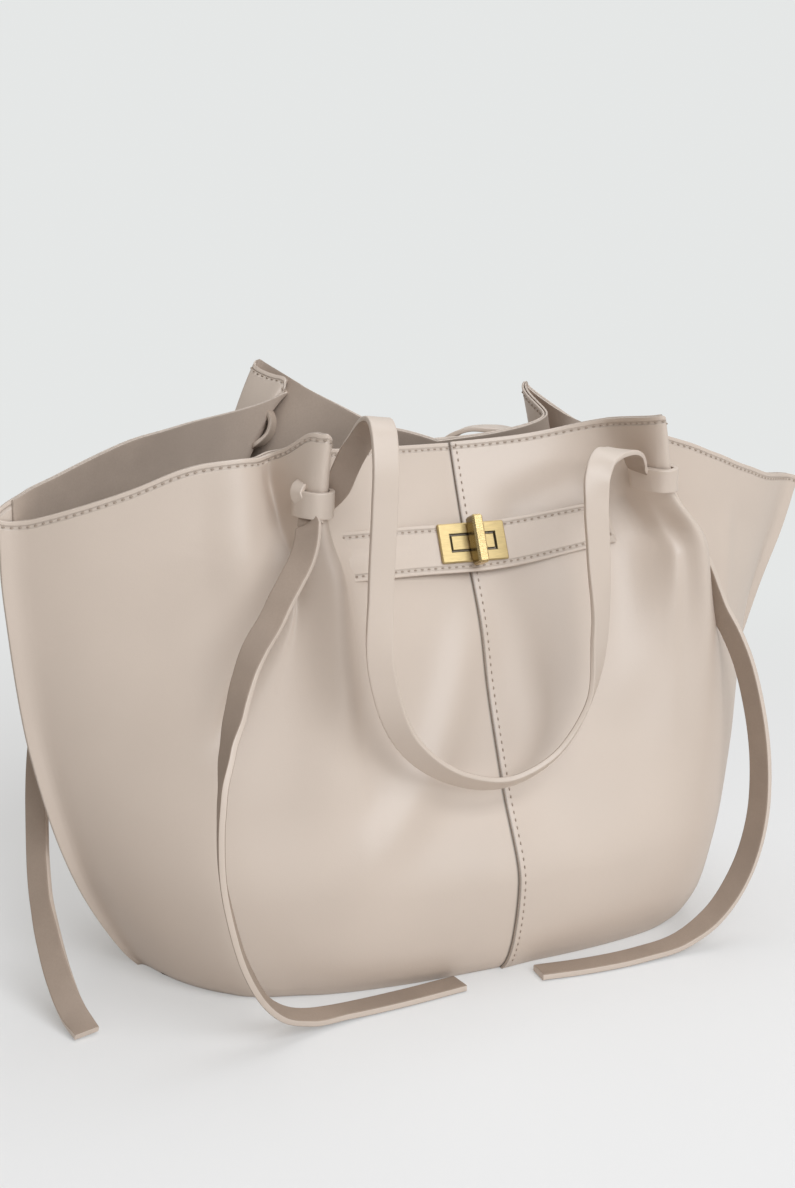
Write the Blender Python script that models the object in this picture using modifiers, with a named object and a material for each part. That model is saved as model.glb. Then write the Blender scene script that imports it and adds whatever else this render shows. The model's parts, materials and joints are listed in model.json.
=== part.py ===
"""Leather shopper bag with cinched corners, knotted strap handles and a turn lock.

Units are metres, +Z is up, the front faces -Y, and the origin is the middle of the base on the floor.
The body is one lofted shell, cut into panels: each quarter of it runs from a centre seam, out over a
pinched fin that a strap is tied round, to a flat stitched edge at the side of the bag.
"""
import math
from functools import cache

import bmesh
import bpy
from mathutils import Matrix, Vector

# Overall sizes
BAG_WIDTH = 0.512
BAG_DEPTH = 0.209
RIM_HEIGHT = 0.289
# Leather and gaps
PANEL_THICK = 0.0014
LINING_THICK = 0.0010
BOARD_THICK = 0.0020
BASE_LINING_THICK = 0.0008
GAP = 0.0003
SIDE_EDGE_WIDTH = 0.009
BASE_INSET = 0.0020
# Straps
STRAP_WIDTH = 0.014
STRAP_THICK = 0.0030
KNOT_GAP = 0.0005
ROOT_GAP = 0.0026
ROOT_LEAD = 0.0060
STRAP_DROP = 0.165
STRAP_REACH = 0.040
HINGE_CLEARANCE = 0.0009
# Belt across the front
BELT_HEIGHT = 0.0255
BELT_THICK = 0.0020
BELT_LEFT = 0.087
BELT_RIGHT = 0.0835
BELT_SLANT = 0.0035
BELT_LEFT_SHARE = 0.815
BELT_MIDDLE_SHARE = 0.808
BELT_RIGHT_SHARE = 0.8425
BELT_END_GAP = 0.0005
BELT_MIDDLE_GAP = 0.0060
BELT_STEPS = 12
# Turn lock
PLATE_WIDTH = 0.042
PLATE_HEIGHT = 0.0225
PLATE_THICK = 0.0018
PLATE_BEVEL = 0.0007
SLOT_WIDTH = 0.0285
SLOT_HEIGHT = 0.0100
SLOT_CLEARANCE = 0.0008
WASHER_WIDTH = 0.034
WASHER_HEIGHT = 0.0165
WASHER_THICK = 0.0008
KNOB_LENGTH = 0.0275
KNOB_WIDTH = 0.0066
KNOB_DEPTH = 0.0095
KNOB_CHAMFER = 0.0011
STEM_RADIUS = 0.0024
STEM_CLEARANCE = 0.0003
RIVET_RADIUS = 0.0036
RIVET_THICK = 0.0006
CUT_OVERRUN = 0.004
# Smoothness
STEM_SIDES = 24
STRAP_STEPS = 3
SMOOTH_ANGLE = 35.0

HALF_WIDTH = BAG_WIDTH / 2
HALF_DEPTH = BAG_DEPTH / 2
EDGE_DEPTH = PANEL_THICK + GAP / 2

# The marks of a quarter's cross-section, from the centre seam to the side edge, and where each
# lies on the way round: centre, middle, inner valley, fin, outer valley, wing, stitched edge.
MARK_SHARES = (0.0, 0.15, 0.30, 0.42, 0.445, 0.47, 0.56, 0.69, 0.81, 0.90, 0.945, 0.965, 1.0)
FIN_TOP, OUTER_VALLEY, WING_END, EDGE_START = 4, 6, 10, 11
# Columns that a panel is drawn with, as shares of the way between one mark and the next.
COLUMN_SHARES = (0.0, 0.5, 1.0, 1.5, 2.0, 2.5, 3.0, 3.5, 4.0, 4.5, 5.0, 5.5, 6.0, 6.5, 7.0, 7.5,
                 8.0, 9.0, 10.0, 11.0, 12.0)
# Rows that a panel is drawn with, as levels of SECTION_SHARES.
ROW_SHARES = (0.0, 1.0, 2.0, 3.0, 3.6, 4.3, 5.0, 5.6, 6.2, 6.75, 7.25, 7.6, 8.0)
LINING_FIRST_ROW = 1

# One row for each level, from the floor up to the rim.
# First the height as a share of the rim's; then depths as shares of half the bag's depth at the
# centre, middle, inner valley and fin; the fin's half width as such a share too; then depths at
# the outer valley and three places on the wing.
SECTION_SHARES = (
    (0.000, 0.823, 0.818, 0.785, 0.737, 0.105, 0.651, 0.555, 0.402, 0.211),
    (0.024, 0.885, 0.880, 0.847, 0.804, 0.115, 0.718, 0.612, 0.450, 0.239),
    (0.087, 0.957, 0.947, 0.909, 0.866, 0.124, 0.775, 0.660, 0.488, 0.258),
    (0.200, 1.000, 0.986, 0.938, 0.890, 0.134, 0.794, 0.670, 0.488, 0.258),
    (0.363, 0.789, 0.804, 0.828, 0.837, 0.124, 0.689, 0.612, 0.450, 0.230),
    (0.554, 0.569, 0.612, 0.689, 0.756, 0.105, 0.545, 0.507, 0.383, 0.191),
    (0.744, 0.378, 0.440, 0.565, 0.713, 0.081, 0.474, 0.450, 0.335, 0.163),
    (0.880, 0.211, 0.297, 0.450, 0.718, 0.053, 0.421, 0.431, 0.325, 0.163),
    (1.000, 0.077, 0.163, 0.373, 0.756, 0.038, 0.431, 0.421, 0.316, 0.163),
)
# At the same levels: how far out the fin is, as a share of half the bag's width, then the inner
# valley as a share of the way to the fin, and the outer valley and three places on the wing as
# shares of the way from the fin to the side edge.
SPAN_SHARES = (
    (0.422, 0.76, 0.35, 0.55, 0.72, 0.86),
    (0.430, 0.76, 0.35, 0.55, 0.72, 0.86),
    (0.441, 0.76, 0.35, 0.55, 0.72, 0.86),
    (0.457, 0.76, 0.35, 0.55, 0.72, 0.86),
    (0.465, 0.78, 0.36, 0.54, 0.72, 0.86),
    (0.457, 0.80, 0.25, 0.46, 0.66, 0.84),
    (0.441, 0.85, 0.10, 0.36, 0.60, 0.82),
    (0.422, 0.90, 0.08, 0.34, 0.60, 0.82),
    (0.414, 0.84, 0.12, 0.34, 0.60, 0.82),
)
# The side edge at the same levels, as a share of half the bag's width: the bag slumps to the left.
SIDE_SHARES = {
    "left": (0.750, 0.768, 0.805, 0.861, 0.916, 0.961, 0.986, 0.998, 1.000),
    "right": (0.656, 0.672, 0.690, 0.715, 0.770, 0.840, 0.906, 0.962, 1.000),
}
# The rim's height at each mark, as a share of RIM_HEIGHT: it climbs over the fins.
RIM_SHARES = {
    "front_left": (1.000, 1.003, 1.017, 1.055, 1.062, 1.052, 1.021,
                   1.003, 0.955, 0.918, 0.910, 0.908, 0.907),
    "front_right": (1.000, 1.014, 1.047, 1.066, 1.069, 1.059, 1.024,
                    0.993, 0.945, 0.903, 0.886, 0.879, 0.872),
    "back_left": (1.000, 1.042, 1.100, 1.135, 1.142, 1.135, 1.104,
                  1.048, 1.000, 0.955, 0.930, 0.917, 0.907),
    "back_right": (1.000, 1.007, 1.028, 1.069, 1.080, 1.066, 1.007,
                   0.965, 0.920, 0.889, 0.881, 0.876, 0.872),
}
# How far a fin's shoulders fall behind its ridge at the same levels, as a share of its half width:
# the fins fade out towards the base.
RIDGE_SHARES = (0.0, 0.0, 0.05, 0.15, 0.45, 0.80, 1.00, 1.00, 1.00)
# How close the outer valley comes to the fin at the rim, as a share of what SPAN_SHARES gives.
PINCH_SHARES = {"front_left": 1.0, "front_right": 0.45, "back_left": 0.40, "back_right": 1.0}
# How far each fin's top leans towards the centre, as a share of half the bag's width.
FIN_LEAN_SHARES = {"front_left": 0.0, "front_right": 0.016, "back_left": 0.070, "back_right": 0.031}
LEAN_START_SHARE = 0.70

# The knots: how high each is on its fin, then the columns of a quarter where its band ends, and
# where the strap leaves it upward and downward.
KNOT_SHARE = 0.880
BAND_COLUMNS = (5, 11)
ROOT_COLUMN = 6
TAIL_COLUMN = 10
STRAP_SEAT = KNOT_GAP + STRAP_THICK / 2
LEAD_SLOPE_SHARE = 0.2

# The route of a strap between its two knots. Each place is a share of the way from fin to fin at
# the rim, of STRAP_REACH outward and of STRAP_DROP down, and with it goes the way that the strap's
# outer face looks there, as on the front. The strap hinges at the apex beside each fin.
STRAP_ROUTE_SHARES = (
    ((0.030, 0.170, -0.056), (0.8, 0.3, 0.4)),
    ((0.036, 0.342, -0.083), (0.1, -0.1, 1.0)),
    ((0.049, 0.662, -0.047), (0.1, -0.8, 0.6)),
    ((0.054, 0.802, 0.044), (0.0, -1.0, 0.1)),
    ((0.049, 0.812, 0.202), (0.0, -1.0, 0.0)),
    ((0.039, 0.792, 0.447), (0.0, -1.0, 0.0)),
    ((0.057, 0.762, 0.717), (-0.6, -0.8, -0.1)),
    ((0.154, 0.712, 0.961), (-0.8, -0.3, -0.6)),
    ((0.307, 0.661, 1.103), (-0.4, -0.2, -1.0)),
    ((0.470, 0.640, 1.148), (0.0, -0.2, -1.0)),
    ((0.617, 0.640, 1.085), (0.5, -0.2, -0.9)),
    ((0.719, 0.639, 0.923), (0.9, -0.4, -0.4)),
    ((0.760, 0.639, 0.669), (0.5, -0.9, 0.0)),
    ((0.755, 0.609, 0.397), (0.0, -1.0, 0.0)),
    ((0.753, 0.559, 0.227), (-0.1, -1.0, 0.1)),
    ((0.785, 0.439, 0.112), (-0.6, -0.6, 0.6)),
    ((0.847, 0.259, 0.077), (-0.1, -0.1, 1.0)),
    ((0.903, 0.088, 0.090), (0.3, 0.3, 1.0)),
)
LEFT_APEX_POINT = 3
RIGHT_APEX_POINT = 18
# How far below the rim each end of the route hangs, as a share of STRAP_DROP.
HANG_SHARES = {"front_left": 0.0, "front_right": 0.0, "back_left": 0.190, "back_right": 0.085}
# The loose ends, from below the knot to the cut end on the floor.
TAIL_ROUTES = {
    "front_left": (
        (-0.1290, -0.0900, 0.2440), (-0.1450, -0.1050, 0.2240), (-0.1640, -0.1160, 0.1900),
        (-0.1770, -0.1230, 0.1520), (-0.1830, -0.1270, 0.1120), (-0.1810, -0.1280, 0.0760),
        (-0.1680, -0.1260, 0.0420), (-0.1480, -0.1210, 0.0170), (-0.1240, -0.1150, 0.0060),
        (-0.0980, -0.1100, 0.0032), (-0.0680, -0.1060, 0.0024), (-0.0360, -0.1030, 0.0024)),
    "front_right": (
        (0.1240, -0.0740, 0.2420), (0.1340, -0.0800, 0.2220), (0.1490, -0.0890, 0.1880),
        (0.1610, -0.0970, 0.1480), (0.1655, -0.1030, 0.1080), (0.1600, -0.1070, 0.0720),
        (0.1480, -0.1080, 0.0420), (0.1300, -0.1080, 0.0180), (0.1080, -0.1080, 0.0060),
        (0.0800, -0.1090, 0.0030), (0.0450, -0.1085, 0.0024), (0.0140, -0.1050, 0.0024)),
    "back_left": (
        (-0.1360, 0.0900, 0.2440), (-0.1550, 0.1020, 0.2180), (-0.1760, 0.1080, 0.1880),
        (-0.1960, 0.1020, 0.1580), (-0.2140, 0.0820, 0.1280), (-0.2260, 0.0560, 0.1000),
        (-0.2330, 0.0300, 0.0760), (-0.2380, 0.0040, 0.0540), (-0.2405, -0.0200, 0.0350),
        (-0.2410, -0.0420, 0.0190), (-0.2395, -0.0610, 0.0065), (-0.2360, -0.0770, 0.0026)),
    "back_right": (
        (0.1250, 0.0860, 0.2420), (0.1370, 0.0970, 0.2180), (0.1520, 0.1060, 0.1820),
        (0.1640, 0.1120, 0.1450), (0.1680, 0.1160, 0.1060), (0.1620, 0.1190, 0.0680),
        (0.1490, 0.1200, 0.0390), (0.1300, 0.1200, 0.0170), (0.1080, 0.1180, 0.0060),
        (0.0800, 0.1150, 0.0030), (0.0450, 0.1130, 0.0024), (0.0120, 0.1110, 0.0024)),
}
TAIL_FACING = {
    "front_left": (-1.0, -0.1, 0.2),
    "front_right": (1.0, -0.1, 0.2),
    "back_left": (-0.6, 0.7, 0.1),
    "back_right": (1.0, 0.1, 0.2),
}
FLOOR_FACING = (0.0, 0.0, -1.0)
FLOOR_POINTS = 5

CORNERS = ("front_left", "front_right", "back_left", "back_right")


def new_collection(name):
    collection = bpy.data.collections.new(name)
    bpy.context.scene.collection.children.link(collection)
    return collection


def material(name, color, roughness, metallic=0.0):
    """A Principled material with the piece's colour, roughness and metallic value."""
    made = bpy.data.materials.new(name)
    made.use_nodes = True
    shader = made.node_tree.nodes["Principled BSDF"]
    shader.inputs["Base Color"].default_value = (*color, 1.0)
    shader.inputs["Roughness"].default_value = roughness
    shader.inputs["Metallic"].default_value = metallic
    return made


def monotone(knots, values, place):
    """A smooth curve through the values that never swings past them (Fritsch-Carlson)."""
    steps = [(values[i + 1] - values[i]) / (knots[i + 1] - knots[i]) for i in range(len(knots) - 1)]
    slopes = [steps[0]]
    for before, after in zip(steps, steps[1:]):
        slopes.append(2 * before * after / (before + after) if before * after > 0 else 0.0)
    slopes.append(steps[-1])
    last = len(knots) - 2
    i = min(last, max(0, sum(1 for knot in knots[1:-1] if place >= knot)))
    span = knots[i + 1] - knots[i]
    t = (place - knots[i]) / span
    rise = values[i + 1] - values[i]
    bend_in = slopes[i] * span
    bend_out = slopes[i + 1] * span
    square = 3 * rise - 2 * bend_in - bend_out
    cube = bend_in + bend_out - 2 * rise
    return values[i] + t * (bend_in + t * (square + t * cube))


def at_level(table, level):
    """One row of a table of levels, at any level between two rows."""
    knots = range(len(table))
    return [monotone(knots, column, level) for column in zip(*table)]


def section_marks(corner, level):
    """The marks of one quarter's cross-section at a level, as x, depth and height."""
    side = corner.split("_")[1]
    height, centre, middle, inner, fin, fin_half, outer, *wing = at_level(SECTION_SHARES, level)
    fin_x, inner_x, outer_x, *wing_x = at_level(SPAN_SHARES, level)
    edge_x, ridge = at_level(tuple(zip(SIDE_SHARES[side], RIDGE_SHARES)), level)
    lean = max(0.0, (height - LEAN_START_SHARE) / (1 - LEAN_START_SHARE))
    fin_x -= FIN_LEAN_SHARES[corner] * lean * lean
    outer_x *= 1 - lean * (1 - PINCH_SHARES[corner])
    edge = HALF_WIDTH * edge_x
    fin_at = HALF_WIDTH * fin_x
    fin_out = HALF_DEPTH * fin
    half = HALF_DEPTH * fin_half
    inner_shoulder = fin_out - half * ridge + (1 - ridge) * (HALF_DEPTH * inner - fin_out) / 2
    outer_shoulder = fin_out - half * ridge + (1 - ridge) * (HALF_DEPTH * outer - fin_out) / 2

    def beyond(share):
        return fin_at + share * (edge - fin_at)

    flat = edge - SIDE_EDGE_WIDTH
    across = [0.0, fin_at * inner_x / 2, fin_at * inner_x, fin_at - half, fin_at, fin_at + half,
              beyond(outer_x), *(beyond(share) for share in wing_x)]
    across += [(across[-1] + 2 * flat) / 3, flat, edge]
    depth = [HALF_DEPTH * centre, HALF_DEPTH * middle, HALF_DEPTH * inner, inner_shoulder, fin_out,
             outer_shoulder, HALF_DEPTH * outer, *(HALF_DEPTH * share for share in wing)]
    depth += [EDGE_DEPTH + (depth[-1] - EDGE_DEPTH) / 5, EDGE_DEPTH, EDGE_DEPTH]
    heights = [RIM_HEIGHT * rim * height for rim in RIM_SHARES[corner]]
    return across, depth, heights


def shell_point(corner, way_round, level):
    """A point of the bag's outer surface."""
    across, depth, heights = section_marks(corner, level)
    face, side = corner.split("_")
    x = monotone(MARK_SHARES, across, way_round)
    y = monotone(MARK_SHARES, depth, way_round)
    z = monotone(MARK_SHARES, heights, way_round)
    return Vector((x if side == "right" else -x, y if face == "back" else -y, z))


def column_way(column):
    """How far round a quarter one of its drawn columns is."""
    place = COLUMN_SHARES[column]
    mark = min(int(place), len(MARK_SHARES) - 2)
    return MARK_SHARES[mark] + (place - mark) * (MARK_SHARES[mark + 1] - MARK_SHARES[mark])


def grid_mesh(rows, flip=False):
    """An open surface through rows of points."""
    mesh = bmesh.new()
    made = [[mesh.verts.new(point) for point in row] for row in rows]
    for low, high in zip(made, made[1:]):
        for i in range(len(low) - 1):
            corners = [low[i], low[i + 1], high[i + 1], high[i]]
            mesh.faces.new(corners[::-1] if flip else corners)
    mesh.normal_update()
    return mesh


def add_object(name, mesh, collection, finish):
    """Turns a bmesh into a named object with its material."""
    data = bpy.data.meshes.new(name)
    mesh.to_mesh(data)
    mesh.free()
    piece = bpy.data.objects.new(name, data)
    collection.objects.link(piece)
    data.materials.append(finish)
    data.shade_smooth()
    data.set_sharp_from_angle(angle=math.radians(SMOOTH_ANGLE))
    return piece


def solidify(piece, thickness, offset):
    wall = piece.modifiers.new("wall", "SOLIDIFY")
    wall.thickness = thickness
    wall.offset = offset
    return piece


@cache
def panel_rows(corner):
    """The outer surface of a quarter, row by row from under the base to the rim."""
    side = corner.split("_")[1]
    ways = [column_way(i) for i in range(len(COLUMN_SHARES))]
    rows = [[shell_point(corner, way, level) for way in ways] for level in ROW_SHARES]
    for row in rows:
        row[0].x = GAP / 2 if side == "right" else -GAP / 2
    return rows


def outward(corner):
    """Whether a quarter's faces, drawn from the centre outward, have to be turned round."""
    face, side = corner.split("_")
    return (side == "left") == (face == "front")


def make_panel(corner, collection, finish):
    mesh = grid_mesh(panel_rows(corner), flip=outward(corner))
    piece = add_object(corner + "_panel", mesh, collection, finish)
    return solidify(piece, PANEL_THICK, -1.0)


def make_lining(face, collection, finish):
    """The lining of the front or back, one piece from side edge to side edge."""
    left, right = panel_rows(face + "_left"), panel_rows(face + "_right")
    rows = [a[:0:-1] + [Vector((0.0, a[0].y, a[0].z))] + b[1:] for a, b in zip(left, right)]
    whole = grid_mesh(rows, flip=face == "back")
    whole.verts.ensure_lookup_table()
    count = len(rows[0])
    inner = PANEL_THICK + GAP
    moved = [[whole.verts[r * count + c].co - inner * whole.verts[r * count + c].normal
              for c in range(count)] for r in range(len(rows))]
    whole.free()
    ends = len(COLUMN_SHARES) - 1 - COLUMN_SHARES.index(WING_END)
    kept = [row[ends:count - ends] for row in moved[LINING_FIRST_ROW:]]
    piece = add_object(face + "_lining", grid_mesh(kept, flip=face == "back"), collection, finish)
    return solidify(piece, LINING_THICK, -1.0)


def base_outline(level, inset):
    """The bag's outline at a level, without the side edges, moved inward."""
    ways = [column_way(i) for i in range(COLUMN_SHARES.index(WING_END) + 1)]
    quarter = {corner: [shell_point(corner, way, level) for way in ways] for corner in CORNERS}
    loop = (quarter["front_left"][::-1] + quarter["front_right"][1:]
            + quarter["back_right"][::-1] + quarter["back_left"][1:])
    moved = []
    for i, point in enumerate(loop):
        along = (loop[(i + 1) % len(loop)] - loop[i - 1]).normalized()
        moved.append((point.x - inset * along.y, point.y + inset * along.x))
    return moved


def make_flat(name, outline, low, thickness, collection, finish):
    """A flat sheet of an outline, made as a filled curve with depth."""
    curve = bpy.data.curves.new(name, "CURVE")
    curve.dimensions = "2D"
    curve.fill_mode = "BOTH"
    curve.extrude = thickness / 2
    spline = curve.splines.new("POLY")
    spline.points.add(len(outline) - 1)
    for point, (x, y) in zip(spline.points, outline):
        point.co = (x, y, 0.0, 1.0)
    spline.use_cyclic_u = True
    piece = bpy.data.objects.new(name, curve)
    piece.location.z = low + thickness / 2
    collection.objects.link(piece)
    curve.materials.append(finish)
    return piece


def smooth_route(points, steps):
    """A smooth curve through points, with its place between them."""
    spans = [(there - here).length for here, there in zip(points, points[1:])]
    ways = [(points[i + 1] - points[i]) / span for i, span in enumerate(spans)]
    slopes = [ways[0]]
    for i in range(1, len(spans)):
        slopes.append((ways[i - 1] * spans[i] + ways[i] * spans[i - 1]) / (spans[i - 1] + spans[i]))
    slopes.append(ways[-1])
    made = []
    for i, span in enumerate(spans):
        out, into = slopes[i] * span, slopes[i + 1] * span
        for step in range(steps):
            t = step / steps
            square, cube = t * t, t * t * t
            point = ((2 * cube - 3 * square + 1) * points[i] + (cube - 2 * square + t) * out
                     + (3 * square - 2 * cube) * points[i + 1] + (cube - square) * into)
            made.append((point, i + t))
    made.append((points[-1], float(len(spans))))
    return made


def strap_stations(points, facings):
    """Places along a strap's smooth route, each with the strap's direction and outer face."""
    points = [Vector(point) for point in points]
    facings = [Vector(facing).normalized() for facing in facings]
    route = smooth_route(points, STRAP_STEPS)
    stations = []
    for i, (point, place) in enumerate(route):
        along = (route[min(i + 1, len(route) - 1)][0] - route[max(i - 1, 0)][0]).normalized()
        first = min(int(place), len(facings) - 2)
        facing = facings[first].lerp(facings[first + 1], place - first)
        facing = (facing - along * facing.dot(along)).normalized()
        stations.append((point, along, facing))
    return stations


def loft(rings):
    """A closed solid through rings of points, capped flat at both ends."""
    mesh = bmesh.new()
    made = [[mesh.verts.new(point) for point in ring] for ring in rings]
    for low, high in zip(made, made[1:]):
        for i in range(len(low)):
            after = (i + 1) % len(low)
            mesh.faces.new((low[i], low[after], high[after], high[i]))
    mesh.faces.new(made[0][::-1])
    mesh.faces.new(made[-1])
    mesh.normal_update()
    return mesh


def make_strap(name, stations, collection, finish, pivot=Vector()):
    """A flat strap lofted through its stations, with its origin at the pivot."""
    rings = []
    for point, along, facing in stations:
        across = along.cross(facing) * (STRAP_WIDTH / 2)
        out = facing * (STRAP_THICK / 2)
        middle = point - pivot
        rings.append([middle - across - out, middle - across + out,
                      middle + across + out, middle + across - out])
    piece = add_object(name, loft(rings), collection, finish)
    piece.location = pivot
    return piece


def drawn_point(corner, column, height):
    """The point of a panel's drawn column at a height."""
    line = [row[column] for row in panel_rows(corner)]
    for low, high in zip(line, line[1:]):
        if low.z <= height < high.z:
            return low.lerp(high, (height - low.z) / (high.z - low.z))
    raise ValueError("no such height on the panel")


def drawn_normal(corner, column, height):
    """The outward normal of a panel at a drawn column and height."""
    across = drawn_point(corner, column + 1, height) - drawn_point(corner, column - 1, height)
    up = drawn_point(corner, column, height + GAP) - drawn_point(corner, column, height)
    normal = across.cross(up).normalized()
    return -normal if outward(corner) else normal


def knot_height(corner):
    """The height of the middle of a knot's band."""
    return KNOT_SHARE * RIM_HEIGHT * RIM_SHARES[corner][FIN_TOP]


def knot_places(corner, column, direction):
    """The middle of the strap at the knot's edge and a little further, and the way it faces there."""
    places, facings = [], []
    for lead in (0.0, ROOT_LEAD):
        height = knot_height(corner) + direction * (STRAP_WIDTH / 2 + ROOT_GAP + lead)
        facing = drawn_normal(corner, column, height)
        facings.append(facing)
        places.append(drawn_point(corner, column, height) + facing * (STRAP_SEAT + lead * LEAD_SLOPE_SHARE))
    return places, facings


def make_band(corner, collection, finish):
    """The turn of strap that holds the fin closed."""
    middle = knot_height(corner)
    rows = []
    for height in (middle - STRAP_WIDTH / 2, middle + STRAP_WIDTH / 2):
        rows.append([drawn_point(corner, column, height) + KNOT_GAP * drawn_normal(corner, column, middle)
                     for column in range(BAND_COLUMNS[0], BAND_COLUMNS[1] + 1)])
    mesh = grid_mesh(rows, flip=outward(corner))
    piece = add_object(corner + "_knot_band", mesh, collection, finish)
    return solidify(piece, STRAP_THICK, 1.0)


def turned(face, direction):
    """A direction given for the front, turned to the back of the bag for the back."""
    x, y, z = direction
    return Vector((x, y if face == "front" else -y, z))


def strap_places(face):
    """The places of a strap's route and the way its outer face looks there, from knot to knot."""
    left, right = face + "_left", face + "_right"
    up, up_facing = knot_places(left, ROOT_COLUMN, 1)
    down, down_facing = knot_places(right, ROOT_COLUMN, 1)
    start = panel_rows(left)[-1][ROOT_COLUMN] + up_facing[-1] * STRAP_SEAT
    start.z -= HANG_SHARES[left] * STRAP_DROP
    end = panel_rows(right)[-1][ROOT_COLUMN] + down_facing[-1] * STRAP_SEAT
    end.z -= HANG_SHARES[right] * STRAP_DROP
    places, facings = [*up], [*up_facing]
    for (span, reach, drop), facing in STRAP_ROUTE_SHARES:
        away = turned(face, (0.0, -reach * STRAP_REACH, -drop * STRAP_DROP))
        places.append(start.lerp(end, span) + away)
        facings.append(turned(face, facing))
    return places + down[::-1], facings + [-facing for facing in down_facing[::-1]]


def cut_ends(stations, at_start, at_end):
    """The stations with half a gap taken off where the strap is cut from its neighbour."""
    made = list(stations)
    if at_start:
        point, along, facing = made[0]
        made[0] = (point + along * GAP / 2, along, facing)
    if at_end:
        point, along, facing = made[-1]
        made[-1] = (point - along * GAP / 2, along, facing)
    return made


def make_knotted_strap(face, collection, finish):
    """The strap between two knots: a root at each, and the loop that swings between their apexes."""
    stations = strap_stations(*strap_places(face))
    left = LEFT_APEX_POINT * STRAP_STEPS
    right = RIGHT_APEX_POINT * STRAP_STEPS
    pivot = hinge_line(face)[0]
    make_strap(face + "_left_strap_root", cut_ends(stations[:left + 1], False, True), collection, finish)
    make_strap(face + "_handle", cut_ends(stations[left:right + 1], True, True), collection, finish, pivot)
    make_strap(face + "_right_strap_root", cut_ends(stations[right:], True, False), collection, finish)


def hinge_line(face):
    """A point on the line that a handle turns about, and its direction, over both apexes."""
    places = strap_places(face)[0]
    left, right = places[LEFT_APEX_POINT], places[RIGHT_APEX_POINT]
    lift = Vector((0.0, 0.0, STRAP_THICK / 2 + HINGE_CLEARANCE))
    direction = (left - right) if face == "front" else (right - left)
    return (left + right) / 2 + lift, direction.normalized()


def make_tail(corner, collection, finish):
    """The loose end of a strap, from under the knot to its square end on the floor."""
    starts, normals = knot_places(corner, TAIL_COLUMN, -1)
    route = TAIL_ROUTES[corner]
    hanging = len(route) - FLOOR_POINTS
    facings = [*normals, *[TAIL_FACING[corner]] * hanging, *[FLOOR_FACING] * FLOOR_POINTS]
    make_strap(corner + "_strap_tail", strap_stations([*starts, *route], facings), collection, finish)


def front_point(x, height):
    """A point of the drawn front panels between the fins."""
    corner = "front_right" if x >= 0 else "front_left"
    line = [drawn_point(corner, column, height) for column in range(COLUMN_SHARES.index(FIN_TOP))]
    for near, far in zip(line, line[1:]):
        if abs(x) <= abs(far.x):
            return near.lerp(far, (x - near.x) / (far.x - near.x))
    raise ValueError("no such place on the front")


def belt_middle(x):
    """The height of the belt's middle line, from the heights of its ends and its lock."""
    shares = (BELT_LEFT_SHARE, BELT_MIDDLE_SHARE, BELT_RIGHT_SHARE)
    return RIM_HEIGHT * monotone((-BELT_LEFT, 0.0, BELT_RIGHT), shares, x)


def belt_flat():
    """The middle of the flat part behind the lock, on the belt's back, and the way that it faces."""
    low = front_point(0.0, belt_middle(0.0) - BELT_HEIGHT / 2)
    high = front_point(0.0, belt_middle(0.0) + BELT_HEIGHT / 2)
    up = (high - low).normalized()
    facing = Vector((0.0, -up.z, up.y))
    return (low + high) / 2 + facing * BELT_MIDDLE_GAP, facing


def make_belt(collection, finish):
    """The belt sewn across the front at its ends, flat behind the lock, its right end slanted."""
    middle, facing = belt_flat()
    rows = []
    for part in (-1, 0, 1):
        right = BELT_RIGHT - part * BELT_SLANT
        row = []
        for step in range(BELT_STEPS + 1):
            x = -BELT_LEFT + step / BELT_STEPS * (BELT_LEFT + right)
            height = belt_middle(min(x, BELT_RIGHT)) + part * BELT_HEIGHT / 2
            flat = middle.y + (height - middle.z) * facing.z / -facing.y
            left_end = front_point(-BELT_LEFT, height).y - BELT_END_GAP
            right_end = front_point(right, height).y - BELT_END_GAP
            knots = (-BELT_LEFT, -PLATE_WIDTH / 2, PLATE_WIDTH / 2, right)
            row.append(Vector((x, monotone(knots, (left_end, flat, flat, right_end), x), height)))
        rows.append(row)
    piece = add_object("closure_belt", grid_mesh(rows), collection, finish)
    return solidify(piece, BELT_THICK, 1.0)


def lock_frame():
    """Where the lock sits on the belt's face: +Y of the lock points into the bag."""
    middle, facing = belt_flat()
    turn = Vector((0.0, -1.0, 0.0)).rotation_difference(facing).to_matrix().to_4x4()
    return Matrix.Translation(middle + facing * BELT_THICK) @ turn


def block(name, size, middle, collection, finish=None):
    """A box in the lock's own frame."""
    mesh = bmesh.new()
    bmesh.ops.create_cube(mesh, size=1.0)
    bmesh.ops.scale(mesh, vec=Vector(size), verts=mesh.verts)
    bmesh.ops.translate(mesh, vec=Vector(middle), verts=mesh.verts)
    data = bpy.data.meshes.new(name)
    mesh.to_mesh(data)
    mesh.free()
    piece = bpy.data.objects.new(name, data)
    collection.objects.link(piece)
    if finish:
        data.materials.append(finish)
    return piece


def rod(name, radius, front, back, collection):
    """A round bar along the lock's Y axis, between two depths."""
    mesh = bmesh.new()
    bmesh.ops.create_cone(mesh, cap_ends=True, segments=STEM_SIDES, radius1=radius, radius2=radius,
                          depth=back - front)
    bmesh.ops.rotate(mesh, verts=mesh.verts, cent=Vector(), matrix=Matrix.Rotation(math.pi / 2, 3, "X"))
    bmesh.ops.translate(mesh, verts=mesh.verts, vec=Vector((0.0, (front + back) / 2, 0.0)))
    data = bpy.data.meshes.new(name)
    mesh.to_mesh(data)
    mesh.free()
    piece = bpy.data.objects.new(name, data)
    collection.objects.link(piece)
    return piece


def cutter(piece, place):
    piece.matrix_world = place
    piece.hide_render = True
    piece.display_type = "WIRE"
    return piece


def boolean(piece, other, operation):
    step = piece.modifiers.new(operation.lower(), "BOOLEAN")
    step.operation = operation
    step.solver = "EXACT"
    step.object = other


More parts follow.
